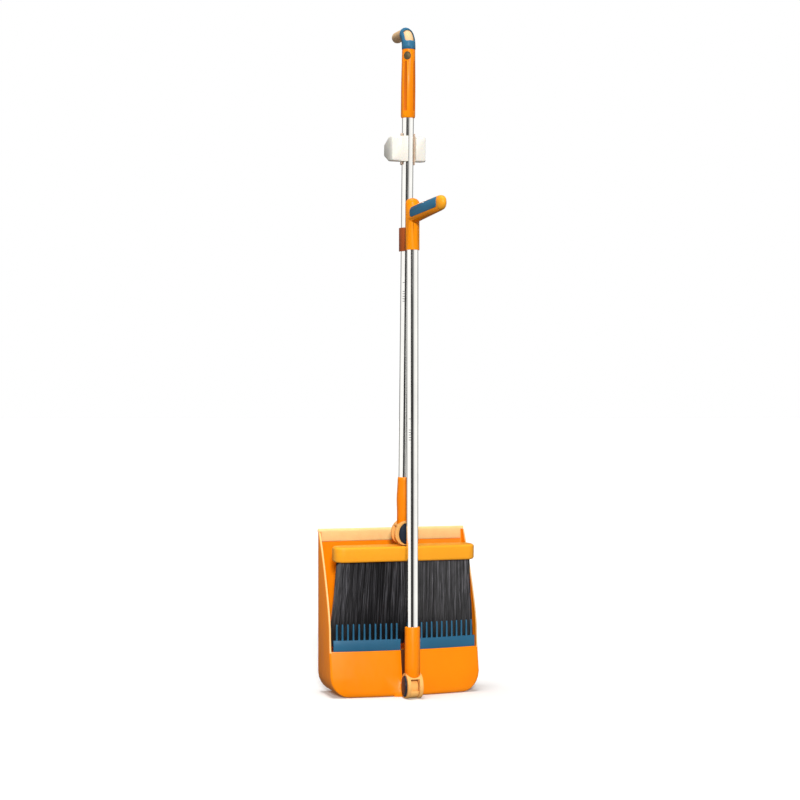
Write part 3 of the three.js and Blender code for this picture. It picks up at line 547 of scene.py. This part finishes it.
def teeth_tree():
    """Tapered teeth on the points of a guide mesh, each turned by the point's own turn attribute."""
    group, tree, sockets = geometry_tree("comb_teeth", [
        ("Width", "NodeSocketFloat", 0.0027), ("Depth", "NodeSocketFloat", 0.003),
        ("Height", "NodeSocketFloat", 0.027), ("Material", "NodeSocketMaterial", None)])
    entry = tree.add("NodeGroupInput").outputs
    top = tree.add("ShaderNodeCombineXYZ", {"Z": entry["Height"]}).outputs[0]
    line = tree.add("GeometryNodeCurvePrimitiveLine", {"Start": (0, 0, -0.001), "End": top})
    steps = tree.add("GeometryNodeResampleCurve", {"Curve": line.outputs[0], "Count": 7})
    along = tree.add("GeometryNodeSplineParameter").outputs["Factor"]
    taper = tree.math("SUBTRACT", 1.0, tree.math("MULTIPLY", tree.math("POWER", along, 4.0), 0.3))
    sized = tree.add("GeometryNodeSetCurveRadius", {"Curve": steps.outputs[0], "Radius": taper})
    outline = tree.add("GeometryNodeCurvePrimitiveQuadrilateral", {
        "Width": entry["Width"], "Height": entry["Depth"]})
    rounded = tree.add("GeometryNodeFilletCurve", {
        "Curve": outline.outputs[0], "Radius": 0.0006, "Count": 2}, mode="POLY")
    tooth = tree.add("GeometryNodeCurveToMesh", {
        "Curve": sized.outputs[0], "Profile Curve": rounded.outputs[0], "Fill Caps": True, "Scale": taper})
    turn = tree.add("GeometryNodeInputNamedAttribute", {"Name": "turn"}, data_type="FLOAT").outputs[0]
    rotation = tree.add("ShaderNodeCombineXYZ", {"Z": turn}).outputs[0]
    placed = tree.add("GeometryNodeInstanceOnPoints", {
        "Points": entry["Geometry"], "Instance": tooth.outputs[0], "Rotation": rotation})
    close_tree(tree, placed.outputs[0], entry["Material"])
    return group, sockets


def bristle_tree():
    """Filaments that hang from the points of a guide mesh and wander towards their tips."""
    group, tree, sockets = geometry_tree("bristle_field", [
        ("Length", "NodeSocketFloat", 0.113), ("Radius", "NodeSocketFloat", 0.0006),
        ("Flare", "NodeSocketFloat", 1.05), ("Wave", "NodeSocketFloat", 0.005),
        ("Jitter", "NodeSocketFloat", 0.0009), ("Front", "NodeSocketFloat", 0.0),
        ("Squeeze", "NodeSocketFloat", 0.85), ("Reach", "NodeSocketFloat", 0.125),
        ("Seed", "NodeSocketInt", 7), ("Material", "NodeSocketMaterial", None)])
    entry = tree.add("NodeGroupInput").outputs

    # The roots stray from their grid, and the strands differ a little in length.
    stray = tree.add("FunctionNodeRandomValue", {
        "Min": (-1, -1, 0), "Max": (1, 1, 0), "Seed": entry["Seed"]}, data_type="FLOAT_VECTOR").outputs[0]
    jitter = tree.add("ShaderNodeVectorMath", {
        0: stray, "Scale": entry["Jitter"]}, operation="SCALE").outputs[0]
    roots = tree.add("GeometryNodeSetPosition", {"Geometry": entry["Geometry"], "Offset": jitter})
    bottom = tree.add("ShaderNodeCombineXYZ", {"Z": tree.math("MULTIPLY", entry["Length"], -1.0)}).outputs[0]
    line = tree.add("GeometryNodeCurvePrimitiveLine", {"End": bottom})
    steps = tree.add("GeometryNodeResampleCurve", {"Curve": line.outputs[0], "Count": STRAND_POINTS})
    short = tree.add("FunctionNodeRandomValue", {2: 0.93, 3: 1.0, "Seed": 3}, data_type="FLOAT").outputs[1]
    size = tree.add("ShaderNodeCombineXYZ", {"X": 1.0, "Y": 1.0, "Z": short}).outputs[0]
    placed = tree.add("GeometryNodeInstanceOnPoints", {
        "Points": roots.outputs[0], "Instance": steps.outputs[0], "Scale": size})
    strands = tree.add("GeometryNodeRealizeInstances", {"Geometry": placed.outputs[0]})

    # Each strand wanders with its neighbours and a little by itself, most of all at its tip.
    along = tree.add("GeometryNodeSplineParameter").outputs["Factor"]
    place = tree.add("GeometryNodeInputPosition").outputs[0]
    parts = tree.add("ShaderNodeSeparateXYZ", {0: place})
    bend = tree.math("POWER", along, 1.6)
    waved = tree.add("ShaderNodeTexNoise", {"Vector": place, "Scale": 34.0, "Detail": 3.0}).outputs["Color"]
    centred = tree.add("ShaderNodeVectorMath", {
        0: waved, 1: (0.5, 0.5, 0.5)}, operation="SUBTRACT").outputs[0]
    number = tree.add("GeometryNodeInputIndex").outputs[0]
    strand = tree.math("FLOOR", tree.math("DIVIDE", number, float(STRAND_POINTS)))
    own = tree.add("FunctionNodeRandomValue", {
        "Min": (-0.35, -0.2, 0), "Max": (0.35, 0.2, 0), "ID": strand, "Seed": entry["Seed"],
    }, data_type="FLOAT_VECTOR").outputs[0]
    both = tree.add("ShaderNodeVectorMath", {0: centred, 1: own}, operation="ADD").outputs[0]
    amount = tree.math("MULTIPLY", tree.math("MULTIPLY", bend, entry["Wave"]), 2.0)
    wander = tree.add("ShaderNodeVectorMath", {0: both, "Scale": amount}, operation="SCALE").outputs[0]

    # The whole field flares sideways, draws in from front to back and leans, held within its reach.
    widening = tree.math("MULTIPLY", parts.outputs[0], tree.math("SUBTRACT", entry["Flare"], 1.0))
    spread = tree.math("MULTIPLY", widening, along)
    depth = tree.math("MULTIPLY", parts.outputs[1], tree.math("SUBTRACT", entry["Squeeze"], 1.0))
    drift = tree.math("MULTIPLY", tree.math("ADD", depth, entry["Front"]), along)
    shape = tree.add("ShaderNodeCombineXYZ", {"X": spread, "Y": drift}).outputs[0]
    offset = tree.add("ShaderNodeVectorMath", {0: wander, 1: shape}, operation="ADD").outputs[0]
    flat = tree.add("ShaderNodeVectorMath", {0: offset, 1: (1, 1, 0)}, operation="MULTIPLY").outputs[0]
    moved = tree.add("ShaderNodeVectorMath", {0: place, 1: flat}, operation="ADD").outputs[0]
    free = tree.add("ShaderNodeSeparateXYZ", {0: moved}).outputs
    least = tree.math("MULTIPLY", entry["Reach"], -1.0)
    held = tree.math("MINIMUM", tree.math("MAXIMUM", free[0], least), entry["Reach"])
    target = tree.add("ShaderNodeCombineXYZ", {"X": held, "Y": free[1], "Z": free[2]}).outputs[0]
    bent = tree.add("GeometryNodeSetPosition", {"Geometry": strands.outputs[0], "Position": target})

    # Thinner tips, and a tone of its own for each strand.
    taper = tree.math("SUBTRACT", 1.0, tree.math("MULTIPLY", along, 0.35))
    chance = tree.add("FunctionNodeRandomValue", {
        2: 0.0, 3: 1.0, "ID": strand, "Seed": 5}, data_type="FLOAT").outputs[1]
    toned = tree.add("GeometryNodeStoreNamedAttribute", {
        "Geometry": bent.outputs[0], "Name": "strand_tone", "Value": tree.math("POWER", chance, 2.0)},
        data_type="FLOAT", domain="POINT")
    outline = tree.add("GeometryNodeCurvePrimitiveCircle", {"Resolution": 3, "Radius": entry["Radius"]})
    hair = tree.add("GeometryNodeCurveToMesh", {
        "Curve": toned.outputs[0], "Profile Curve": outline.outputs[0], "Fill Caps": True, "Scale": taper})
    close_tree(tree, hair.outputs[0], entry["Material"])
    return group, sockets


# Operators -----------------------------------------------------------------------------------


class BuildPan(bpy.types.Operator):
    """Pan moulding, its soft lip, the hinge tongue and its screws"""

    bl_idname = "dust_pan.pan"
    bl_label = "Pan"

    def execute(self, context):
        pan = bevelled_copy("pan_shell", "pan_moulding", 0.7 * MM, 3, sharp=45, smooth_angle=33)
        self.paint_highlight_and_shade(pan)
        bevelled_copy("pan_lip", "pan_lip_strip", 0.5 * MM, 2)
        bevelled_copy("pan_tongue", "hinge_tongue", 0.5 * MM, 2)
        for i in (1, 2):
            bevelled_copy(f"tongue_screw_{i}", f"hinge_screw_{i}", 0.25 * MM, 2)
        return {"FINISHED"}

    def paint_highlight_and_shade(self, pan):
        """Paints a highlight on the front edges of the side walls, and paints shade into the channel behind the
        pole's foot.
        """
        # Painted highlight: a pale tone on the forward-facing faces at the side walls' front edges.
        pan.data.materials.append(moulded_plastic("painted_rim_highlight", settings().colours.rim, 0.3, subsurface=0.06))
        # Painted shade: a dark brown in the channel behind the pole's foot.
        pan.data.materials.append(moulded_plastic("painted_channel_shade", (0.085, 0.022, 0.006), 0.6))
        rim_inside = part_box("pan_shell")[1].x - 3.4 * MM
        rim_foot = 66 * MM
        channel_half = span("pan_sleeve", 0) / 2
        channel_foot, channel_top = 32.5 * MM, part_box("comb_left")[1].z - 46.5 * MM
        channel_front, channel_rear = -46.5 * MM, -31 * MM
        for polygon in pan.data.polygons:
            x, y, z = polygon.center
            in_channel = abs(x) < channel_half and channel_front < y < channel_rear
            # Forward-facing faces at the walls' front edges get the painted highlight; faces in the channel get
            # the painted shade.
            if abs(x) > rim_inside and polygon.normal.y < -0.35 and z > rim_foot:
                polygon.material_index = 1
            elif in_channel and channel_foot < z < channel_top:
                polygon.material_index = 2


class BuildCombs(bpy.types.Operator):
    """Comb strips on the hood's edge, with their teeth"""

    bl_idname = "dust_pan.combs"
    bl_label = "Combs"

    def execute(self, context):
        sizes = settings().comb
        group, sockets = teeth_tree()
        for side in ("left", "right"):
            self.build(side, sizes, group, sockets)
        return {"FINISHED"}

    def build(self, side, sizes, group, sockets):
        node = f"comb_{side}"
        base_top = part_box(node)[1].z - sizes.tooth_height
        guide = self.guide(node, base_top, sizes)
        teeth = run_tree(node + "_teeth", guide, group, sockets, {
            "Width": sizes.tooth_width, "Depth": sizes.tooth_depth, "Height": sizes.tooth_height,
            "Material": finish_for("blue_plastic")})
        mesh = self.base(node, base_top)
        joined = bmesh.new()
        joined.from_mesh(mesh)
        joined.from_mesh(teeth)
        joined.to_mesh(mesh)
        joined.free()
        add_object(node + "_strip", mesh, "pan", [node], smooth_angle=35)

    def guide(self, node, base_top, sizes):
        """A point for each tooth along the base's front face, turned as the face turns there."""
        near = 0.1 * MM
        front = {}
        for vertex in frame["nodes"][node].data.vertices:
            if abs(vertex.co.z - base_top) < near:
                key = round(vertex.co.x, 4)
                front[key] = min(front.get(key, 1), vertex.co.y)
        line = sorted(front.items())

        def face(x):
            """Y of the base's front face."""
            for (x0, y0), (x1, y1) in zip(line, line[1:]):
                if x0 <= x <= x1:
                    return y0 + (y1 - y0) * (x - x0) / max(x1 - x0, 1e-9)
            return line[0][1] if x < line[0][0] else line[-1][1]

        low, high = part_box(node)
        count = int((high.x - low.x - 2 * sizes.tooth_width) / sizes.pitch)
        start = (low.x + high.x - count * sizes.pitch) / 2
        step = 2 * MM
        inset = sizes.tooth_depth / 2 + 0.5 * MM
        turns = []
        bm = bmesh.new()
        for i in range(count + 1):
            x = start + i * sizes.pitch
            turns.append(math.atan2(face(x + step) - face(x - step), 2 * step))
            bm.verts.new((x, face(x) + inset, base_top))
        guide = bpy.data.meshes.new(node + "_guide")
        bm.to_mesh(guide)
        bm.free()
        guide.attributes.new("turn", "FLOAT", "POINT").data.foreach_set("value", turns)
        return guide

    def base(self, node, base_top):
        """The strip under the teeth: the node cut off a little below their roots, closed and bevelled."""
        cut_height = base_top - 0.2 * MM

        def build(bm):
            bm.from_mesh(frame["nodes"][node].data)
            bmesh.ops.remove_doubles(bm, verts=bm.verts, dist=WELD)
            cut = bmesh.ops.bisect_plane(
                bm, geom=bm.verts[:] + bm.edges[:] + bm.faces[:], plane_co=(0, 0, cut_height),
                plane_no=(0, 0, 1), clear_outer=True)["geom_cut"]
            rim = [item for item in cut if isinstance(item, bmesh.types.BMEdge)]
            bmesh.ops.contextual_create(bm, geom=rim)
            bmesh.ops.dissolve_limit(bm, angle_limit=FLAT, verts=bm.verts, edges=bm.edges)
            bmesh.ops.bevel(
                bm, geom=sharp_edges(bm, 40), offset=0.4 * MM, segments=2, profile=0.5, affect="EDGES",
                clamp_overlap=True)

        return mesh_from(node + "_strip", build)


class BuildPoles(bpy.types.Operator):
    """Steel poles with their height marks, and the foot sleeves"""

    bl_idname = "dust_pan.poles"
    bl_label = "Poles and sleeves"

    def execute(self, context):
        low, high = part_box("pan_pole_tube")
        self.pole("pan", POLE, "pan_pole", low.z, high.z, row=0.4375, single=0.473)
        bottom, top = broom_height("broom_pole_tube")
        self.pole("broom", BROOM, "broom", bottom, top, row=0.398, single=0.430)
        self.sleeves()
        return {"FINISHED"}

    def pole(self, name, place, body, bottom, top, row, single):
        """One steel tube, with a row of five ticks and a single tick higher up."""
        sizes = settings().poles
        bands = [(single, sizes.tick)] + [(row + i * sizes.tick_gap, sizes.tick) for i in range(5)]
        turned = math.radians(-38)
        marks = printed_ticks(place, bands, turned, sizes.tick_half)
        steel = metal(f"marked_steel_{name}", STEEL, 0.08, 0.07, marks)
        mesh = tube_mesh(f"{name}_pole_steel", place, bottom, top, sizes)
        add_object(f"{name}_pole_steel", mesh, body, [f"{name}_pole_tube"], steel)

    def sleeves(self):
        """The pan's straight foot sleeve with its rounded top, and the broom's swelling one."""
        sizes = settings().sleeves
        bore = settings().poles.radius
        start = sizes.saddle_height + 2 * MM
        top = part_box("pan_sleeve")[1].z - HINGE.z
        rounding = ((0, 2.0), (0.3, 0.9), (0.9, 0.3), (1.6, 0))
        profile = [(sizes.radius, start)]
        profile += [(sizes.radius - inset * MM, top - drop * MM) for inset, drop in rounding]
        mesh = sleeve_mesh("pan_foot_sleeve", Matrix.Translation(HINGE), profile, sizes, bore)
        add_object("pan_foot_sleeve", mesh, "pan_pole", ["pan_sleeve"], smooth_angle=50)
        turned = BROOM @ Matrix.Rotation(math.pi / 2, 4, "Z")
        high = broom_height("broom_sleeve")[1]
        foot, belly, neck = 12.2 * MM, 13 * MM, 11.3 * MM
        stations = 16
        profile = []
        for i in range(stations + 1):
            height = start + (high - 1.2 * MM - start) * i / stations
            share = (height - start) / (high - start)
            swell = math.sin(math.pi * min(share / 0.8, 1)) ** 2
            settled = max(0.0, (share - 0.4) / 0.6)
            radius = foot + (belly - foot) * swell + (neck - foot) * settled ** 2
            profile.append((radius, height))
        profile += [(neck - 0.4 * MM, high - 0.4 * MM), (neck - 0.9 * MM, high)]
        mesh = sleeve_mesh("broom_foot_sleeve", turned, profile, sizes, bore)
        add_object("broom_foot_sleeve", mesh, "broom", ["broom_sleeve"], smooth_angle=50)


class BuildKnuckles(bpy.types.Operator):
    """Forked knuckles with their pins, washers and oval caps"""

    bl_idname = "dust_pan.knuckles"
    bl_label = "Knuckles"

    def execute(self, context):
        for fork, pin in (("pole_fork", "hinge_pin"), ("broom_fork", "swivel_pin")):
            bevelled_copy(fork, fork + "_moulding", 0.8 * MM, 3, sharp=45, smooth_angle=38)
            bevelled_copy(pin, pin + "_steel", 0.4 * MM, 2)
        for node in ("hinge_washer_left", "hinge_washer_right", "swivel_washer_front", "swivel_washer_rear"):
            bevelled_copy(node, node.replace("washer", "spacer"), 0.08 * MM, 1)
        for node in ("hinge_cap_left", "hinge_cap_right", "swivel_cap_front", "swivel_cap_rear"):
            bevelled_copy(node, node.replace("cap", "cover"), 0.35 * MM, 2, sharp=30, smooth_angle=40)
        return {"FINISHED"}


class BuildHandle(bpy.types.Operator):
    """Handle with its horn and clip, the inlays and the end cap"""

    bl_idname = "dust_pan.handle"
    bl_label = "Handle"

    def execute(self, context):
        handle = bevelled_copy("handle_body", "handle_moulding", 0.6 * MM, 3, sharp=42, smooth_angle=36)
        self.paint_clip_shade(handle)
        for side in ("left", "right"):
            bevelled_copy(f"handle_inlay_{side}", f"handle_grip_{side}", 0.35 * MM, 2)
        bevelled_copy("handle_end_cap", "handle_tip", 0.4 * MM, 2, sharp=50, smooth_angle=45)
        return {"FINISHED"}

    def paint_clip_shade(self, handle):
        """Paints shade on the clip at the rear of the handle: its faces there get a dark orange."""
        handle.data.materials.append(moulded_plastic("painted_clip_shade", (0.27, 0.058, 0.010), 0.45))
        sleeve_wall = 2.5 * MM
        behind = HINGE.y + settings().poles.radius + sleeve_wall
        # Faces behind the sleeve get the painted shade.
        for polygon in handle.data.polygons:
            if polygon.center.y > behind:
                polygon.material_index = 1


class BuildGrip(bpy.types.Operator):
    """Broom's fluted grip, its badge, and the hook"""

    bl_idname = "dust_pan.grip"
    bl_label = "Grip and hook"

    def execute(self, context):
        grip = bevelled_copy("broom_grip", "broom_grip_moulding", 0.3 * MM, 2, sharp=32, smooth_angle=40)
        self.paint_flute_shade(grip)
        self.badge()
        rod = bevelled_copy("hook_core", "hook_rod", 0.3 * MM, 2, sharp=50, smooth_angle=50)
        rod.data.materials[0] = moulded_plastic("sand", settings().colours.sand, 0.45, subsurface=0.06)
        bevelled_copy("hook_skin", "hook_sleeve", 0.45 * MM, 2, sharp=45, smooth_angle=40)
        return {"FINISHED"}

    def paint_flute_shade(self, grip):
        """Paints shade into the hollows of the flutes on the grip's front: a deeper orange."""
        grip.data.materials.append(moulded_plastic("painted_flute_shade", (0.64, 0.135, 0.001), 0.62))
        inverse = BROOM.inverted()
        bottom, top = broom_height("broom_grip")
        foot, head = bottom + 10 * MM, top - 16 * MM
        bore = settings().poles.radius
        for polygon in grip.data.polygons:
            place = inverse @ polygon.center
            outward = Vector((place.x, place.y, 0)).normalized()
            facing = (inverse.to_3x3() @ polygon.normal).dot(outward)
            # Sloping flute faces on the front side get the painted shade.
            sloping = 0.3 < facing < 0.985
            if sloping and foot < place.z < head and place.y < 0 and place.xy.length > bore:
                polygon.material_index = 1

    def badge(self):
        """A plain oval badge with a raised rim and a softly dished face."""
        sizes = settings().badge
        points = [vertex.co for vertex in frame["nodes"]["grip_badge"].data.vertices]
        centre = sum(points, Vector()) / len(points)
        axis = BROOM.to_3x3() @ Vector((0, 0, 1))
        outward = centre - BROOM.translation
        outward = (outward - axis * outward.dot(axis)).normalized()
        across = axis.cross(outward).normalized()
        half_width = max((point - centre).dot(across) for point in points)
        half_height = max((point - centre).dot(axis) for point in points)
        front = max((point - centre).dot(outward) for point in points)
        rear = min((point - centre).dot(outward) for point in points)
        place = Matrix.Translation(centre) @ Matrix((across, axis, outward)).transposed().to_4x4()
        soft = 0.25 * MM
        face = front - sizes.rise
        facets = 48
        # Each ring is an inset from the badge's edge and a height.
        profile = [
            (0, rear), (0, front - soft), (soft, front), (sizes.rim - soft, front), (sizes.rim, face),
            (half_width * 0.6, face + sizes.dome * 0.7), (half_width * 0.85, face + sizes.dome),
        ]

        def build(bm):
            oval = half_height / half_width
            join_rings(bm, [circle(half_width - inset, height, facets, oval) for inset, height in profile])

        add_object("grip_roundel", mesh_from("grip_roundel", build, place), "broom", ["grip_badge"])


class BuildHead(bpy.types.Operator):
    """Broom head: block, tongue and screws"""

    bl_idname = "dust_pan.head"
    bl_label = "Broom head"

    def execute(self, context):
        bevelled_copy("head_block", "head_moulding", 0.5 * MM, 2, sharp=40, smooth_angle=38)
        bevelled_copy("head_tongue", "swivel_tongue", 0.5 * MM, 2)
        for i in (1, 2):
            bevelled_copy(f"head_screw_{i}", f"swivel_screw_{i}", 0.25 * MM, 2)
        return {"FINISHED"}


class BuildBristles(bpy.types.Operator):
    """Filaments under the broom head"""

    bl_idname = "dust_pan.bristles"
    bl_label = "Bristles"

    def execute(self, context):
        sizes = settings().bristles
        inverse = BROOM.inverted()
        points = [inverse @ vertex.co for vertex in frame["nodes"]["bristles"].data.vertices]
        top = max(point.z for point in points)
        bottom = min(point.z for point in points)
        roots = [point for point in points if point.z > top - MM]
        tips = [point for point in points if point.z < bottom + MM]
        half_width = max(point.x for point in roots)
        tip_half = max(point.x for point in tips)
        front, rear = min(p.y for p in roots), max(p.y for p in roots)
        tip_front, tip_rear = min(p.y for p in tips), max(p.y for p in tips)
        margin, sunk = 2.2 * MM, 0.3 * MM
        half_field, field_depth = half_width - margin, rear - front - 2 * margin
        bm = bmesh.new()
        for i in range(sizes.across):
            for j in range(sizes.deep):
                x = (2 * i / (sizes.across - 1) - 1) * half_field
                y = front + margin + field_depth * j / (sizes.deep - 1)
                bm.verts.new((x, y, top - sunk))
        guide = bpy.data.meshes.new("bristle_roots")
        bm.to_mesh(guide)
        bm.free()
        group, sockets = bristle_tree()
        finish = finish_for("bristle")
        wander = sizes.wave + sizes.radius + sizes.jitter
        mesh = run_tree("bristle_field", guide, group, sockets, {
            "Length": top - bottom - 0.4 * MM, "Radius": sizes.radius,
            "Flare": (tip_half - 0.35 * wander) / half_field,
            "Reach": tip_half - 1.5 * sizes.radius,
            "Front": (tip_front + tip_rear) / 2 - (front + rear) / 2,
            "Squeeze": (tip_rear - tip_front - 2 * wander) / field_depth,
            "Wave": sizes.wave, "Jitter": sizes.jitter, "Seed": 11, "Material": finish}, BROOM)
        piece = add_object("bristle_field", mesh, "broom_head", ["bristles"], smooth_angle=80)
        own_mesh(piece)
        return {"FINISHED"}


class BuildHolder(bpy.types.Operator):
    """White wall holder with its jaw liner and pad"""

    bl_idname = "dust_pan.holder"
    bl_label = "Wall holder"

    def execute(self, context):
        bevelled_copy("holder_body", "holder_moulding", 0.8 * MM, 3, sharp=40, smooth_angle=38)
        bevelled_copy("holder_jaw", "holder_liner", 0.4 * MM, 2, sharp=45)
        bevelled_copy("holder_pad", "holder_foam", 0.3 * MM, 2)
        return {"FINISHED"}


class BuildStage(bpy.types.Operator):
    """Pale floor, soft studio light and the camera"""

    bl_idname = "dust_pan.stage"
    bl_label = "Stage"

    def execute(self, context):
        scene = bpy.context.scene
        scene.view_settings.view_transform = "Standard"
        self.floor()
        self.world(scene)
        self.lights()
        self.camera(scene)
        return {"FINISHED"}

    def floor(self):
        """A wide round floor of rings that grow outwards. It only catches shadows: it colours nothing."""
        facets, rings, first, growth = 64, 40, 0.05, 1.19

        def build(bm):
            centre = bm.verts.new((0, 0, 0))
            radii = [first * growth ** i for i in range(rings)]
            loops = [[bm.verts.new(point) for point in circle(radius, 0, facets)] for radius in radii]
            for i in range(facets):
                j = (i + 1) % facets
                bm.faces.new((centre, loops[0][i], loops[0][j]))
                for low, high in zip(loops, loops[1:]):
                    bm.faces.new((low[i], high[i], high[j], low[j]))

        mesh = mesh_from("studio_floor", build)
        if mesh.polygons[0].normal.z < 0:
            mesh.flip_normals()
        floor = bpy.data.objects.new("studio_floor", mesh)
        bpy.context.scene.collection.objects.link(floor)
        tone = settings().colours.floor
        material, tree = new_material("floor_paint", tone)
        faint = object_noise(tree, 3, 2)
        base = mixed(tree, faint, shade_of(tone, 0.99), shade_of(tone, 1.0))
        shader = tree.add("ShaderNodeBsdfPrincipled", {
            "Base Color": base, "Roughness": 0.85, "Specular IOR Level": 0.1})
        mesh.materials.append(finish_material(material, tree, shader))
        floor.visible_glossy = False
        floor.visible_diffuse = False

    def world(self, scene):
        """White surroundings with one dark band that the polished poles mirror."""
        world = bpy.data.worlds.new("studio")
        world.use_nodes = True
        world.node_tree.nodes.clear()
        tree = Tree(world.node_tree)
        ray = tree.add("ShaderNodeLightPath").outputs
        direction = tree.add("ShaderNodeTexCoord").outputs["Generated"]
        parts = tree.add("ShaderNodeSeparateXYZ", {0: direction}).outputs
        toward = tree.math("ADD", tree.math("MULTIPLY", parts[0], VIEW_BACK.x),
                           tree.math("MULTIPLY", parts[1], VIEW_BACK.y))
        across = tree.math("ADD", tree.math("MULTIPLY", parts[0], -VIEW_BACK.y),
                           tree.math("MULTIPLY", parts[1], VIEW_BACK.x))
        angle = tree.math("ARCTAN2", across, toward)
        band = tree.add("ShaderNodeValToRGB")
        tree.link(ranged(tree, angle, -math.pi, math.pi, 0, 1), band.inputs[0])
        # Each stop is a share of the turn from behind round to behind, and a brightness.
        stops = [
            (0.0, 0.10), (0.08, 0.12), (0.15, 0.35), (0.21, 1.0), (0.405, 1.0), (0.418, 0.02), (0.535, 0.02),
            (0.60, 0.85), (0.70, 1.0), (0.79, 1.0), (0.85, 0.35), (0.92, 0.12), (1.0, 0.10)]
        ramp = band.color_ramp
        while len(ramp.elements) < len(stops):
            ramp.elements.new(0.5)
        for element, (place, value) in zip(ramp.elements, stops):
            element.position = place
            element.color = (value, value * 0.985, value * 0.95, 1)
        mirrored = tree.add("ShaderNodeBackground", {"Color": band.outputs[0], "Strength": 1.2})
        plain = tree.add("ShaderNodeBackground", {"Color": (1, 1, 1, 1), "Strength": 0.25})
        seen = tree.add("ShaderNodeBackground", {"Color": (1, 1, 1, 1), "Strength": 1.0})
        first = tree.add("ShaderNodeMixShader", {
            "Fac": ray["Is Glossy Ray"], 1: plain.outputs[0], 2: mirrored.outputs[0]})
        second = tree.add("ShaderNodeMixShader", {
            "Fac": ray["Is Camera Ray"], 1: first.outputs[0], 2: seen.outputs[0]})
        tree.add("ShaderNodeOutputWorld", {"Surface": second.outputs[0]})
        scene.world = world

    def lights(self):
        for name, toward, strength, spread, tint in (
            ("key_sun", (-0.26, -0.95, 0.34), 2.95, 10, (1.0, 0.985, 0.96)),
            ("top_sun", (-0.10, -0.06, 1.0), 2.05, 22, (1.0, 1.0, 1.0)),
        ):
            light = bpy.data.lights.new(name, "SUN")
            light.energy = strength
            light.angle = math.radians(spread)
            light.color = tint
            lamp = bpy.data.objects.new(name, light)
            lamp.rotation_euler = Vector(toward).to_track_quat("Z", "Y").to_euler()
            bpy.context.scene.collection.objects.link(lamp)

    def camera(self, scene):
        data = bpy.data.cameras.new("studio_camera")
        data.lens = 80.5
        data.sensor_width = 36
        data.clip_end = 100
        camera = bpy.data.objects.new("studio_camera", data)
        camera.location = VIEW_AIM + VIEW_BACK * VIEW_DISTANCE
        camera.rotation_euler = VIEW_BACK.to_track_quat("Z", "Y").to_euler()
        scene.collection.objects.link(camera)
        scene.camera = camera


OPERATORS = (
    BuildStage, BuildPan, BuildCombs, BuildPoles, BuildKnuckles, BuildHandle, BuildGrip, BuildHead,
    BuildBristles, BuildHolder,
)


class DustPanSettings(bpy.types.PropertyGroup):
    poles: PointerProperty(type=PoleSizes, name="Poles", description="Sizes of the poles")
    sleeves: PointerProperty(type=SleeveSizes, name="Sleeves", description="Sizes of the foot sleeves")
    comb: PointerProperty(type=CombSizes, name="Combs", description="Sizes of the combs")
    bristles: PointerProperty(type=BristleSizes, name="Bristles", description="Sizes of the bristles")
    badge: PointerProperty(type=BadgeSizes, name="Badge", description="Sizes of the badge")
    colours: PointerProperty(type=Colours, name="Colours", description="Colours of the finishes")


class DustPanPanel(bpy.types.Panel):
    """Lists the builders and the sizes and colours that they use"""

    bl_idname = "VIEW3D_PT_dust_pan"
    bl_label = "Dust Pan"
    bl_space_type = "VIEW_3D"
    bl_region_type = "UI"
    bl_category = "Dust Pan"

    def draw(self, context):
        for operator in OPERATORS:
            self.layout.operator(operator.bl_idname)
        for group in DustPanSettings.__annotations__:
            box = self.layout.box()
            box.label(text=group.title())
            values = getattr(settings(), group)
            for field in type(values).__annotations__:
                box.prop(values, field)


GROUPS = (PoleSizes, SleeveSizes, CombSizes, BristleSizes, BadgeSizes, Colours, DustPanSettings)


def register():
    for item in (*GROUPS, *OPERATORS, DustPanPanel):
        bpy.utils.register_class(item)
    bpy.types.Scene.dust_pan = PointerProperty(type=DustPanSettings)


def unregister():
    del bpy.types.Scene.dust_pan
    for item in reversed((*GROUPS, *OPERATORS, DustPanPanel)):
        bpy.utils.unregister_class(item)


def main():
    register()
    for operator in OPERATORS:
        group, name = operator.bl_idname.split(".")
        getattr(getattr(bpy.ops, group), name)()


if __name__ == "__main__":
    main()
